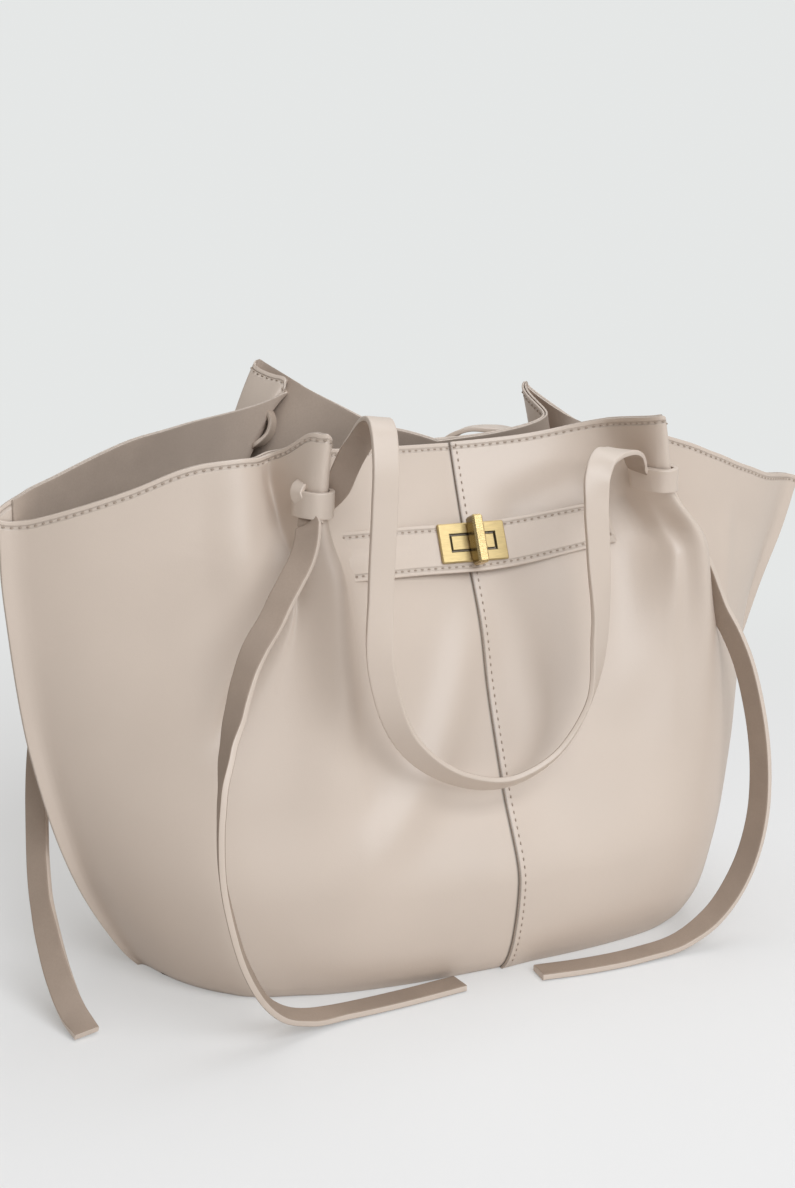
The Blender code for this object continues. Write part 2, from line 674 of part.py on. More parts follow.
def bevel(piece, width):
    edge = piece.modifiers.new("edge", "BEVEL")
    edge.width = width
    edge.segments = 1
    edge.limit_method = "ANGLE"


def make_lock(collection, cutters, finish, belt):
    """The turn lock: slotted plate, base block, knob with its stem, and washer behind the belt."""
    place = lock_frame()
    stem_hole = STEM_RADIUS + STEM_CLEARANCE
    through = BELT_THICK + BELT_MIDDLE_GAP + PLATE_THICK
    hole = cutter(rod("stem_hole", stem_hole, -PLATE_THICK - CUT_OVERRUN, through, cutters), place)

    plate = block("lock_plate", (PLATE_WIDTH, PLATE_THICK, PLATE_HEIGHT),
                  (0.0, -GAP - PLATE_THICK / 2, 0.0), collection, finish)
    slot = cutter(block("slot_cutter", (SLOT_WIDTH, PLATE_THICK + CUT_OVERRUN, SLOT_HEIGHT),
                        (0.0, -GAP - PLATE_THICK / 2, 0.0), cutters), place)
    bevel(plate, PLATE_BEVEL)
    boolean(plate, slot, "DIFFERENCE")

    base_thick = PLATE_THICK - GAP
    base_size = (SLOT_WIDTH - 2 * SLOT_CLEARANCE, base_thick, SLOT_HEIGHT - 2 * SLOT_CLEARANCE)
    base = block("lock_base", base_size, (0.0, -GAP - base_thick / 2, 0.0), collection, finish)
    boolean(base, hole, "DIFFERENCE")

    washer = block("lock_washer", (WASHER_WIDTH, WASHER_THICK, WASHER_HEIGHT),
                   (0.0, BELT_THICK + GAP + WASHER_THICK / 2, 0.0), collection, finish)
    boolean(washer, hole, "DIFFERENCE")
    boolean(belt, hole, "DIFFERENCE")

    face = -GAP - PLATE_THICK - GAP
    knob = block("turn_knob", (KNOB_WIDTH, KNOB_DEPTH, KNOB_LENGTH), (0.0, face - KNOB_DEPTH / 2, 0.0),
                 collection, finish)
    bevel(knob, KNOB_CHAMFER)
    washer_back = BELT_THICK + GAP + WASHER_THICK
    inside_knob = face - KNOB_DEPTH / 2
    rivet_front = washer_back + GAP
    rivet_back = rivet_front + RIVET_THICK
    stem = cutter(rod("knob_stem", STEM_RADIUS, inside_knob, rivet_back - RIVET_THICK / 2, cutters), place)
    rivet = cutter(rod("knob_rivet", RIVET_RADIUS, rivet_front, rivet_back, cutters), place)
    boolean(knob, stem, "UNION")
    boolean(knob, rivet, "UNION")
    for piece in (plate, base, washer, knob):
        piece.matrix_world = place


def main():
    for old in list(bpy.data.objects):
        bpy.data.objects.remove(old, do_unlink=True)
    bag = new_collection("shopper_bag")
    cutters = new_collection("cutters")
    leather = material("taupe_leather", (0.62, 0.53, 0.45), 0.45)
    lining = material("lining_leather", (0.36, 0.28, 0.22), 0.70)
    board = material("base_board", (0.30, 0.26, 0.22), 0.85)
    gold = material("brushed_gold", (0.80, 0.58, 0.26), 0.28, 1.0)

    for corner in CORNERS:
        make_panel(corner, bag, leather)
        make_band(corner, bag, leather)
        make_tail(corner, bag, leather)
    for face in ("front", "back"):
        make_lining(face, bag, lining)
        make_knotted_strap(face, bag, leather)

    outline = base_outline(0.0, BASE_INSET)
    make_flat("base_panel", outline, 0.0, PANEL_THICK, bag, leather)
    board_low = PANEL_THICK + GAP
    make_flat("base_board", outline, board_low, BOARD_THICK, bag, board)
    lining_low = board_low + BOARD_THICK + GAP
    make_flat("base_lining", outline, lining_low, BASE_LINING_THICK, bag, lining)

    belt = make_belt(bag, leather)
    make_lock(bag, cutters, gold, belt)
    for face in ("front", "back"):
        point, direction = hinge_line(face)
        print(face, "handle turns about", tuple(point), "along", tuple(direction))
    place = lock_frame()
    facing = place.to_3x3() @ Vector((0.0, -1.0, 0.0))
    print("knob turns about", tuple(place.translation), "along", tuple(facing))


main()
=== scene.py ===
"""Leather shopper bag with cinched corners: the visible model, its materials, lights and camera.

Units are metres, +Z is up, and the front faces -Y. The body is a lofted shell of leather panels that
sags to one side. Each of its four corners is pinched into a fin, and a strap is passed through slits
in the fin and tied round it: one end of the strap is the handle, the other hangs loose to the floor.
"""
import json
import math

import bpy
import numpy as np
from mathutils import Matrix, Vector

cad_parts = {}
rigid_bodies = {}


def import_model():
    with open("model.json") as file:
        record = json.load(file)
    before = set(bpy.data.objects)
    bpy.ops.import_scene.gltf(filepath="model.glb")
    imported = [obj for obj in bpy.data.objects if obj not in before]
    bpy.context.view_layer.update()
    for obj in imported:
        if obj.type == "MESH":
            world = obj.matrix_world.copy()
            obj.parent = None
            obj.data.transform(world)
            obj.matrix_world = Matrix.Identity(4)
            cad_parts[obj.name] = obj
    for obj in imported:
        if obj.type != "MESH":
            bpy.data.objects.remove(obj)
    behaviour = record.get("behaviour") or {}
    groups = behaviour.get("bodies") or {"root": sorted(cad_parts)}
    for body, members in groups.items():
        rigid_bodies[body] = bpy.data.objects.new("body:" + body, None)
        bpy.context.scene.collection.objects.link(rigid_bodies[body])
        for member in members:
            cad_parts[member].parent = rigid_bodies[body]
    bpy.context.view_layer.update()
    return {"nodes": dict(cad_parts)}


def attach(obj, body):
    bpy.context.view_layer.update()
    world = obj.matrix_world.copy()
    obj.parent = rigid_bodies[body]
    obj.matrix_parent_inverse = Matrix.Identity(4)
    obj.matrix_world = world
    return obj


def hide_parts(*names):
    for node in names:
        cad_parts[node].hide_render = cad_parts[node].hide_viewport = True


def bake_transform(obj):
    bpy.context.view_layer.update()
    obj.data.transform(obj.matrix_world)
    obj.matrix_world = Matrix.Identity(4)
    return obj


bl_info = {
    "name": "Shopper bag",
    "version": (1, 0, 0),
    "blender": (4, 5, 0),
    "location": "View3D > Sidebar > Shopper bag",
    "description": "Leather shopper with cinched corners, knotted strap handles and a turn lock",
    "category": "Add Mesh",
}

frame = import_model()

# Sizes that the panels and straps share with the part's source
BAG_WIDTH = 0.512
BAG_DEPTH = 0.209
RIM_HEIGHT = 0.289
SIDE_EDGE_WIDTH = 0.006
STRAP_WIDTH = 0.014
STRAP_THICK = 0.0030
STRAP_ROUNDING = 0.0007
FLOOR_GAP = 0.0004
KNOT_GAP = 0.0005
ROOT_GAP = 0.0026
HALF_WIDTH = BAG_WIDTH / 2
HALF_DEPTH = BAG_DEPTH / 2
LINING_GAP = 0.0006

# The marks of a quarter's cross-section, from the centre seam to the side edge, and where each
# lies on the way round: centre, middle, inner valley, fin, outer valley, wing, stitched edge.
MARK_SHARES = (0.0, 0.15, 0.30, 0.42, 0.445, 0.47, 0.56, 0.69, 0.81, 0.90, 0.945, 0.965, 1.0)
FIN_TOP = 4
SECTION_SHARES = (
    (0.000, 0.823, 0.818, 0.785, 0.737, 0.105, 0.651, 0.558, 0.412, 0.232),
    (0.024, 0.885, 0.880, 0.847, 0.804, 0.115, 0.718, 0.614, 0.458, 0.262),
    (0.087, 0.957, 0.947, 0.909, 0.866, 0.124, 0.775, 0.660, 0.488, 0.258),
    (0.200, 1.000, 0.986, 0.938, 0.890, 0.134, 0.794, 0.670, 0.488, 0.258),
    (0.363, 0.789, 0.804, 0.828, 0.837, 0.124, 0.689, 0.612, 0.450, 0.230),
    (0.554, 0.569, 0.612, 0.689, 0.756, 0.105, 0.590, 0.507, 0.383, 0.191),
    (0.744, 0.378, 0.440, 0.565, 0.713, 0.081, 0.515, 0.450, 0.335, 0.163),
    (0.880, 0.211, 0.297, 0.450, 0.718, 0.053, 0.421, 0.431, 0.325, 0.163),
    (1.000, 0.077, 0.163, 0.373, 0.756, 0.038, 0.431, 0.421, 0.316, 0.163),
)
SPAN_SHARES = (
    (0.422, 0.76, 0.35, 0.55, 0.72, 0.86),
    (0.430, 0.76, 0.35, 0.55, 0.72, 0.86),
    (0.441, 0.76, 0.35, 0.55, 0.72, 0.86),
    (0.457, 0.76, 0.35, 0.55, 0.72, 0.86),
    (0.465, 0.78, 0.36, 0.54, 0.72, 0.86),
    (0.457, 0.80, 0.25, 0.46, 0.66, 0.84),
    (0.441, 0.85, 0.10, 0.36, 0.60, 0.82),
    (0.422, 0.90, 0.08, 0.34, 0.60, 0.82),
    (0.414, 0.84, 0.12, 0.34, 0.60, 0.82),
)
SIDE_SHARES = {
    "left": (0.742, 0.763, 0.803, 0.861, 0.916, 0.961, 0.986, 0.998, 1.000),
    "right": (0.650, 0.668, 0.688, 0.715, 0.770, 0.840, 0.906, 0.962, 1.000),
}
RIM_SHARES = {
    "front_left": (1.000, 1.003, 1.017, 1.055, 1.062, 1.052, 1.021,
                   1.003, 0.955, 0.918, 0.910, 0.908, 0.907),
    "front_right": (1.000, 1.014, 1.047, 1.066, 1.069, 1.059, 1.024,
                    0.993, 0.945, 0.903, 0.886, 0.879, 0.872),
    "back_left": (1.000, 1.042, 1.100, 1.135, 1.142, 1.135, 1.104,
                  1.048, 1.000, 0.955, 0.930, 0.917, 0.907),
    "back_right": (1.000, 1.007, 1.028, 1.069, 1.080, 1.066, 1.007,
                   0.965, 0.920, 0.889, 0.881, 0.876, 0.872),
}
RIDGE_SHARES = (0.0, 0.0, 0.05, 0.15, 0.45, 0.80, 1.00, 1.00, 1.00)
PINCH_SHARES = {"front_left": 1.0, "front_right": 0.45, "back_left": -0.24, "back_right": 1.0}
VALLEY_SHARES = {"front_left": 0.0, "front_right": 0.0, "back_left": 0.0, "back_right": 0.065}
FIN_LEAN_SHARES = {"front_left": 0.0, "front_right": 0.036, "back_left": 0.091, "back_right": 0.031}
LEAN_START_SHARE = 0.70
# How far the front fins wander sideways below their knots, level by level, as the bag sags.
FIN_DRIFT_SHARES = {
    "front_left": (0.0, 0.0, -0.018, -0.045, -0.066, -0.066, -0.046, -0.003, 0.0),
    "front_right": (0.0, 0.0, 0.030, 0.050, 0.075, 0.088, 0.080, 0.004, 0.0),
}
# How far the drawn cross-sections are smoothed out, level by level.
SOFTNESS = (0.008, 0.014, 0.020, 0.024, 0.022, 0.013, 0.0035, 0.0012, 0.0016)
LEAST_SOFTNESS = 0.0004
# The wing is smoothed more, from this share of the way round and over this share of it.
WING_SOFTNESS = 0.016
WING_START_SHARE = 0.60
WING_REACH_SHARE = 0.10
# Beside the side edge the drawn cross-section is kept, over this distance.
EDGE_KEPT = 0.022
EDGE_DEPTH = 0.00155
# The width of the flat side edge, level by level.
EDGE_SHARES = (0.4, 0.5, 0.7, 0.85, 1.0, 1.0, 1.0, 1.0, 1.0)
# Creases of the front leather: places across and up, half width, and how far it stands out.
CREASES = (
    (((-0.1122, 0.2447), (-0.1175, 0.2199), (-0.1312, 0.1951), (-0.1464, 0.1698), (-0.1654, 0.1307)),
     0.0055, -0.0052),
    (((-0.0945, 0.2560), (-0.0935, 0.2427), (-0.0945, 0.2183), (-0.0930, 0.1648), (-0.0906, 0.1300)),
     0.0095, 0.0074),
    (((0.0080, 0.2256), (-0.0090, 0.1849), (-0.0200, 0.1603), (-0.0410, 0.1220), (-0.0780, 0.0857),
      (-0.1150, 0.0449)), 0.0125, 0.0046),
    (((0.1270, 0.2400), (0.1120, 0.1999), (0.0890, 0.1563), (0.0720, 0.1251)), 0.0130, 0.0022),
    (((0.0150, 0.2450), (0.0350, 0.2520), (0.0599, 0.2620), (0.0930, 0.2790)), 0.0120, -0.0045),
    (((0.0960, 0.2680), (0.1000, 0.2620), (0.1160, 0.2400), (0.1180, 0.2250)), 0.0110, -0.0080),
    (((0.1747, 0.2560), (0.1707, 0.2153), (0.1664, 0.1700)), 0.0065, 0.0016),
    (((-0.1443, 0.2720), (-0.1478, 0.2398), (-0.1634, 0.1978), (-0.1800, 0.1550), (-0.1880, 0.1100)),
     0.0190, 0.0035),
)
# Soft folds of a panel: way round, level, widths of both, and how far the leather stands out.
FOLDS = {
    "front_left": ((0.640, 6.9, 0.045, 1.1, 0.0075), (0.560, 7.5, 0.030, 0.50, -0.0085),
                   (0.565, 6.15, 0.040, 0.80, 0.0080)),
    "front_right": ((0.240, 6.0, 0.055, 1.4, -0.0095), (0.360, 6.5, 0.050, 0.9, 0.0030)),
}
# Waves of the rim: way round, width, and how much higher the rim stands there.
RIM_WAVES = {
    "front_left": ((0.570, 0.045, -0.0085), (0.485, 0.025, 0.010), (0.495, 0.032, 0.007),
                   (0.750, 0.050, 0.005), (0.960, 0.055, -0.0155)),
    "front_right": ((0.520, 0.030, 0.010), (0.600, 0.030, 0.007), (0.700, 0.045, -0.010),
                    (0.780, 0.060, -0.014), (0.860, 0.040, -0.009), (0.980, 0.060, 0.012)),
    "back_left": ((0.150, 0.060, -0.008), (0.550, 0.025, 0.010), (0.640, 0.075, -0.0145),
                  (0.720, 0.050, -0.006), (0.960, 0.050, 0.016)),
}

KNOT_SHARE = 0.880
TAIL_WAYS = {"front_left": 0.462, "front_right": 0.500, "back_left": 0.470, "back_right": 0.470}
BAND_WAYS = {"front_left": (0.362, 0.512), "front_right": (0.320, 0.512),
             "back_left": (0.362, 0.512), "back_right": (0.362, 0.512)}
BAND_DIP = 0.0020
TAIL_DIP = 0.0046
TAIL_THICK = 0.0036
TAIL_RISE = 0.0065

# Routes are in millimetres. Each group of places has the way that the outer face looks there, first.
# The front strap, from the left knot over both arches to the right knot.
FRONT_ROUTE = (
    ((0.43, 0.88, -0.2), (-101, -60, 269), (-94.6, -66, 278.3)),
    ((0.42, 0.88, -0.1), (-91.2, -67, 286.6)), ((0.4, 0.85, 0.1), (-88.2, -69, 294.6)),
    ((0.36, 0.75, 0.5), (-84.5, -72.5, 303)), ((0.25, 0.45, 0.8), (-82.8, -78.5, 310.8)),
    ((0.1, 0, 1), (-82.9, -88, 315)), ((0, -0.8, 0.6), (-85.2, -99.5, 311.5)),
    ((0, -1, 0.1), (-87, -107, 297.6)), ((0, -1, 0), (-88, -108.5, 271.5), (-88.8, -107.7, 231.1)),
    ((-0.4, -0.9, -0.1), (-86.8, -106.5, 186.6)), ((-0.55, -0.7, -0.4), (-70, -104.4, 146.6)),
    ((-0.3, -0.62, -0.75), (-40, -102.4, 123.7)), ((0, -0.58, -0.8), (-7.9, -101.6, 116.7)),
    ((0.4, -0.6, -0.68), (20.9, -101.5, 127.6)), ((0.75, -0.6, -0.3), (41, -101.5, 154.6)),
    ((0.4, -0.9, 0), (46.6, -101.5, 196.7)), ((0, -1, 0), (44, -100.3, 241.5)),
    ((-0.1, -1, 0.1), (42.4, -99, 266)), ((-0.3, -0.9, 0.3), (43.7, -97, 281)),
    ((-0.45, -0.65, 0.6), (49.4, -93.5, 289.5)), ((-0.3, -0.3, 0.9), (61.1, -87, 291.6)),
    ((0.1, 0.1, 1), (71.6, -80.5, 290.2)), ((0.4, 0.2, 0.9), (79.5, -74.5, 288)),
    ((0.7, 0.3, 0.6), (85, -70, 284)), ((0.8, 0.3, 0.5), (89, -65.5, 280), (95, -60, 275.5)))
# The back strap, in the same way.
BACK_ROUTE = (
    ((0.85, 0.45, -0.29), (-91.4, 71.6, 299.5)), ((0.82, 0.47, -0.31), (-88.8, 73, 305)),
    ((0.8, -0.3, 0.4), (-77.2, 82.8, 305.2)), ((0.1, 0.1, 1), (-76.2, 89.7, 309.7)),
    ((0.1, 0.8, 0.6), (-73.9, 102.5, 303.7)), ((0, 1, 0.1), (-73, 108.1, 288.7)),
    ((0, 1, 0), (-73.9, 108.5, 262.6), (-75.6, 107.7, 222.2)),
    ((-0.6, 0.8, -0.1), (-72.5, 106.5, 177.6)), ((-0.8, 0.3, -0.6), (-55.5, 104.5, 137.2)),
    ((-0.4, 0.2, -1), (-28.8, 102.4, 113.6)), ((0, 0.2, -1), (-0.3, 101.6, 105.9)),
    ((0.5, 0.2, -0.9), (25.4, 101.6, 116.1)), ((0.9, 0.4, -0.4), (43.3, 101.6, 142.6)),
    ((0.5, 0.9, 0), (50.4, 101.6, 184.5)), ((0, 1, 0), (49, 100.4, 229.4)),
    ((-0.1, 1, 0.1), (47.8, 99, 256)), ((-0.5, 0.6, 0.6), (51.9, 95, 273.5)),
    ((-0.2, 0.2, 1), (62, 88, 281.5)), ((0.1, -0.1, 1), (75.1, 81.5, 282.5)),
    ((0.3, -0.2, 0.9), (86, 77.5, 281.5)), ((0.84, -0.4, 0.3), (94.5, 74, 278.5)),
    ((0.86, -0.47, 0.1), (99, 70, 273.5)))
# The loose ends, from below the knot to the cut end on the floor.
TAIL_ROUTES = {
    "front_left": (
        ((0.78, 0.62, -0.1), (-114.1, -74, 259.4), (-116.6, -77.5, 252.5), (-120.9, -81.2, 244.1),
         (-128.1, -85.5, 235.2), (-135.6, -90, 226.5), (-143.2, -95, 217), (-154.1, -101, 205.1)),
        ((0.86, 0.5, -0.1), (-162.2, -107, 192.1)), ((0.92, 0.4, -0.1), (-169, -113.5, 177)),
        ((0.99, 0.1, 0), (-175.7, -120, 160)), ((0.96, -0.22, 0), (-180.3, -125.5, 141)),
        ((0.95, -0.29, 0), (-182.2, -128, 121.8), (-181.5, -128.5, 98.6)),
        ((0.94, -0.3, 0.1), (-176.7, -128, 74)), ((0.75, -0.3, 0.55), (-167, -125, 45)),
        ((0.45, -0.2, 0.85), (-150, -119, 19)), ((0.2, -0.1, 0.95), (-129, -111, 7)),
        ((0, 0, 1), (-105, -106, 3.4), (-70, -103, 2.4), (-32.8, -99.4, 2.4))),
    "front_right": (
        ((0.97, 0.26, 0.1), (121.5, -60, 248), (130, -61, 234), (140, -63, 219), (146.9, -66, 201.8),
         (150.1, -69, 191.9), (155.7, -74, 179.2), (159.1, -81, 165.4), (161.7, -91, 140.9),
         (161.2, -103, 101.7), (157.9, -107, 72.5), (148, -108, 42)),
        ((0.7, 0.2, -0.7), (130, -108, 18)), ((0.2, 0.05, -1), (108, -108, 6)),
        ((0, 0, -1), (80, -109, 3), (45, -108.5, 2.4), (14, -105, 2.4))),
    "back_left": (
        ((0.6, 0.75, 0), (-136, 90, 244), (-155, 102, 218), (-176, 108, 188), (-196, 102, 158),
         (-220, 70, 118), (-228.5, 48, 92.5), (-233.4, 30, 77.5), (-237.8, 12, 64), (-241, -6, 50)),
        ((0.55, 0.7, -0.3), (-242.4, -25, 36)), ((0.45, 0.6, -0.6), (-242, -44, 21)),
        ((0.25, 0.35, -0.9), (-239.5, -61, 8.5)), ((0.05, 0.05, -1), (-236.2, -74, 2.8))),
    "back_right": (
        ((1, 0.1, 0.2), (125, 86, 242), (137, 97, 218), (152, 106, 182), (164, 112, 145),
         (168, 116, 106), (162, 119, 68), (149, 120, 39)), ((0.7, 0.1, -0.7), (130, 120, 17)),
        ((0.2, 0, -1), (108, 118, 6)), ((0, 0, -1), (80, 115, 3), (45, 113, 2.4), (12, 111, 2.4))),
}
# Whether a loose end leaves its knot with its outer face outward, or with its back.
TAIL_SIDES = {"front_left": -1.0, "front_right": 1.0, "back_left": -1.0, "back_right": 1.0}

# How finely a panel is drawn: columns between one mark and the next, and rows between levels.
COLUMN_COUNTS = (8, 10, 14, 6, 6, 18, 22, 16, 9, 5, 2, 4)
ROW_COUNTS = (3, 6, 11, 14, 18, 20, 18, 18)
RIM_ROWS = 5
RIM_ROW_PITCH = 0.0011
LAP_FADE = 0.030
LAP_GAP = 0.0001
LAP_WAYS = (0.027, 0.014)
# Offset of the painted shadow line along the lap's edge, as measured on the upper panel.
LAP_SHADE = 0.0004
LINING_LOW_LEVEL = 1.0
LINING_LAST_WAY = 0.9651
STITCH_INSET = 0.0034
STITCH_SHARE = 0.52
LOWEST_STITCH = 0.004
CORNERS = ("front_left", "front_right", "back_left", "back_right")

# The belt across the front, and where the lock sits on it and looks, as in the record
BELT_HEIGHT = 0.0255
BELT_THICK = 0.0020
BELT_LEFT = 0.0940
BELT_RIGHT = 0.0904
BELT_SLANT = 0.0028
BELT_TUCK = 0.0140
BELT_SHARES = (0.815, 0.808, 0.8425)
BELT_INSET = 0.0029
BELT_ROUNDING = 0.0005
BELT_SEAT = 0.0006
BELT_COLUMNS = 73
BELT_ROWS = 19
PLATE_WIDTH = 0.042
LOCK_PLACE = (0.0, -0.038571, 0.236768)
LOCK_FACING = (0.0, -0.913412, 0.407037)
STEM_HOLE = 0.0027
LOCK_SLOT = (0.0285, 0.0100)
BASE_INSET = 0.0020
BASE_LAST_WAY = 0.9451
BASE_GAP = 0.0002
BASE_THICK = 0.0013
BASE_LINING_LEVEL = 0.0040
BASE_LINING_THICK = 0.0010
# Loops that show beside a knot, and their widths.
KNOT_LOOPS = {
    "front_left": ((
        ((0.1, -0.3, 1), (-106, -60, 278)), ((-0.1, -0.3, 0.9), (-111, -62, 280.3)),
        ((-0.7, -0.4, 0.6), (-115.5, -64, 279)), ((-0.9, -0.4, 0), (-117.2, -65.5, 275)),
        ((-0.7, -0.5, -0.5), (-115, -66.5, 271.2)), ((-0.2, -0.5, -0.8), (-111, -67, 269))), 0.008),
    "back_left": ((
        ((0.3, -0.6, 0.7), (-86.5, 54, 306)), ((0.3, -0.8, 0.5), (-89.5, 45, 305)),
        ((0.3, -0.95, 0), (-89.4, 38.5, 298.3)), ((0.3, -0.95, -0.1), (-92.1, 37, 291.5)),
        ((0.3, -0.8, -0.4), (-98.2, 40, 285.6)), ((0.3, -0.3, -0.8), (-99, 50, 285))), 0.0048),
}

# The camera, fitted to the photograph
PHOTO_SIZE = (795, 1188)
FOCAL_PIXELS = 1720.0
CAMERA_AZIMUTH = -26.0
CAMERA_ELEVATION = 13.0
CAMERA_DISTANCE = 0.994
CAMERA_TARGET = (-0.027, 0.0, 0.201)
CAMERA_ROLL = 1.05
BACKDROP = (0.785, 0.80, 0.795)
BOARD_COLOR = (0.12, 0.09, 0.07)
# How much brighter the knob's gold is than the plate's: a painted highlight on the same metal.
KNOB_PAINTED_LIGHT = 1.4
# The lamps: place, what they look at, size and power
LAMPS = (("key", (0.12, -2.3, 1.75), (0, 0, 0.15), 2.0, 62.0),
         ("top", (0.4, 0.3, 2.4), (0, 0, 0.1), 1.8, 22.0))
LAMP_COLOR = (0.93, 1.0, 1.08)
WORLD_COLOR = (1.04, 0.99, 0.94)
WORLD_LEVEL = 0.31


# The shell


def smooth_through(knots, values, places):
    """A smooth curve through values that never swings past them, read at many places."""
    knots = np.asarray(knots, float)
    values = np.asarray(values, float)
    places = np.asarray(places, float)
    spans = np.diff(knots)
    steps = np.diff(values) / spans
    before, after = steps[:-1], steps[1:]
    same = before * after > 0
    inner = np.where(same, 2 * before * after / np.where(same, before + after, 1.0), 0.0)
    slopes = np.concatenate(([steps[0]], inner, [steps[-1]]))
    i = np.clip(np.searchsorted(knots, places, side="right") - 1, 0, len(spans) - 1)
    t = (places - knots[i]) / spans[i]
    rise = values[i + 1] - values[i]
    bend_in = slopes[i] * spans[i]
    bend_out = slopes[i + 1] * spans[i]
    square = 3 * rise - 2 * bend_in - bend_out
    cube = bend_in + bend_out - 2 * rise
    return values[i] + t * (bend_in + t * (square + t * cube))


def at_levels(table, levels):
    """Every column of a table of levels, read at many levels."""
    return [smooth_through(range(len(table)), column, levels) for column in zip(*table)]


def section_marks(corner, levels):
    """The marks of one quarter's cross-sections at many levels: across, depth and height."""
    side = corner.split("_")[1]
    height, centre, middle, inner, fin, fin_half, outer, *wing = at_levels(SECTION_SHARES, levels)
    fin_x, inner_x, outer_x, *wing_x = at_levels(SPAN_SHARES, levels)
    edge_x, ridge = at_levels(tuple(zip(SIDE_SHARES[side], RIDGE_SHARES)), levels)
    lean = np.maximum(0.0, (height - LEAN_START_SHARE) / (1 - LEAN_START_SHARE))
    drift = smooth_through(range(9), FIN_DRIFT_SHARES.get(corner, (0.0,) * 9), levels)
    fin_x = fin_x - FIN_LEAN_SHARES[corner] * lean * lean + drift
    outer_x = outer_x * (1 - lean * (1 - PINCH_SHARES[corner]))
    inner_x = inner_x + lean * VALLEY_SHARES[corner]
    flat = HALF_WIDTH * edge_x - SIDE_EDGE_WIDTH
    edge = flat + SIDE_EDGE_WIDTH * smooth_through(range(9), EDGE_SHARES, levels)
    fin_at = HALF_WIDTH * fin_x
    fin_out = HALF_DEPTH * fin
    half = HALF_DEPTH * fin_half
    inner_shoulder = fin_out - half * ridge + (1 - ridge) * (HALF_DEPTH * inner - fin_out) / 2
    outer_shoulder = fin_out - half * ridge + (1 - ridge) * (HALF_DEPTH * outer - fin_out) / 2
    edge_depth = np.full_like(edge, EDGE_DEPTH)
    across = [0 * edge, fin_at * inner_x / 2, fin_at * inner_x, fin_at - half, fin_at, fin_at + half,
              *(fin_at + share * (edge - fin_at) for share in (outer_x, *wing_x))]
    across += [(across[-1] + 2 * flat) / 3, flat, edge]
    depth = [HALF_DEPTH * centre, HALF_DEPTH * middle, HALF_DEPTH * inner, inner_shoulder, fin_out,
             outer_shoulder, HALF_DEPTH * outer, *(HALF_DEPTH * share for share in wing)]
    depth += [edge_depth + (depth[-1] - edge_depth) / 5, edge_depth, edge_depth]
    heights = [RIM_HEIGHT * rim * height for rim in RIM_SHARES[corner]]
    return np.array(across), np.array(depth), np.array(heights)


def softened(sections, levels):
    """Cross-sections smoothed along their length: rows of points, centre first, edge kept."""
    reach = smooth_through(range(9), SOFTNESS, levels)
    wing = np.clip((panel_ways() - WING_START_SHARE) / WING_REACH_SHARE, 0, 1)
    for row, width in zip(sections, reach):
        widths = np.maximum(max(width, LEAST_SOFTNESS), WING_SOFTNESS * wing)[:, None]
        steps = np.linalg.norm(np.diff(row, axis=0), axis=1)
        along = np.concatenate(([0.0], np.cumsum(steps)))
        share = np.gradient(along)
        mirrored = row * np.array([-1.0, 1.0])
        near = np.exp(-((along[:, None] - along[None, :]) / widths) ** 2) * share
        across = np.exp(-((along[:, None] + along[None, :]) / widths) ** 2) * share
        made = (near @ row + across @ mirrored) / (near.sum(1) + across.sum(1))[:, None]
        kept = np.clip((along[-1] - along) / EDGE_KEPT, 0, 1)[:, None]
        row += (made - row) * kept * kept * (3 - 2 * kept)


def crease_depth(across, up, route, width, out):
    """How far a crease along a route lifts the leather at places across and up."""
    route = np.asarray(route, float)
    lengths = np.linalg.norm(np.diff(route, axis=0), axis=1)
    nearest = np.full(across.shape, np.inf)
    share = np.zeros(across.shape)
    done = 0.0
    for start, end, length in zip(route, route[1:], lengths):
        way = (end - start) / length
        t = np.clip((across - start[0]) * way[0] + (up - start[1]) * way[1], 0, length)
        away = np.hypot(across - start[0] - way[0] * t, up - start[1] - way[1] * t)
        share = np.where(away < nearest, (done + t) / lengths.sum(), share)
        nearest = np.minimum(away, nearest)
        done += length
    fade = np.clip(np.minimum(share / 0.25, (1 - share) / 0.35), 0, 1)
    return out * np.exp(-((nearest / width) ** 2)) * fade * fade * (3 - 2 * fade)


def shell_grid(corner, ways, levels):
    """Points of the outer surface, as rows of levels and columns of ways round."""
    face, side = corner.split("_")
    ways, levels = np.asarray(ways, float), np.asarray(levels, float)
    marks = section_marks(corner, levels)
    dense = panel_ways()
    sections = np.zeros((len(levels), len(dense), 2))
    grid = np.zeros((len(levels), len(ways), 3))
    for row in range(len(levels)):
        for axis in (0, 1):
            sections[row, :, axis] = smooth_through(MARK_SHARES, marks[axis][:, row], dense)
        grid[row, :, 2] = smooth_through(MARK_SHARES, marks[2][:, row], ways)
    softened(sections, levels)
    for row in range(len(levels)):
        for axis in (0, 1):
            grid[row, :, axis] = np.interp(ways, dense, sections[row, :, axis])
    for way, level, width, reach, out in FOLDS.get(corner, ()):
        grid[..., 1] += out * (np.exp(-((ways - way) / width) ** 2)[None, :]
                               * np.exp(-((levels - level) / reach) ** 2)[:, None])
    for way, width, rise in RIM_WAVES.get(corner, ()):
        grid[..., 2] *= 1 + rise * (np.exp(-((ways - way) / width) ** 2)[None, :]
                                    * (np.clip(levels, 0, 8) / 8)[:, None] ** 6)
    grid[..., 0] *= 1.0 if side == "right" else -1.0
    if face == "front":
        for route, width, out in CREASES:
            grid[..., 1] += crease_depth(grid[..., 0], grid[..., 2], route, width, out)
    grid[..., 1] *= 1.0 if face == "back" else -1.0
    grid[..., 2] = np.maximum(grid[..., 2], 0.0)
    return grid


def turned_out(corner):
    """Whether a quarter's faces, drawn from the centre outward, have to be turned round."""
    face, side = corner.split("_")
    return (side == "left") == (face == "front")


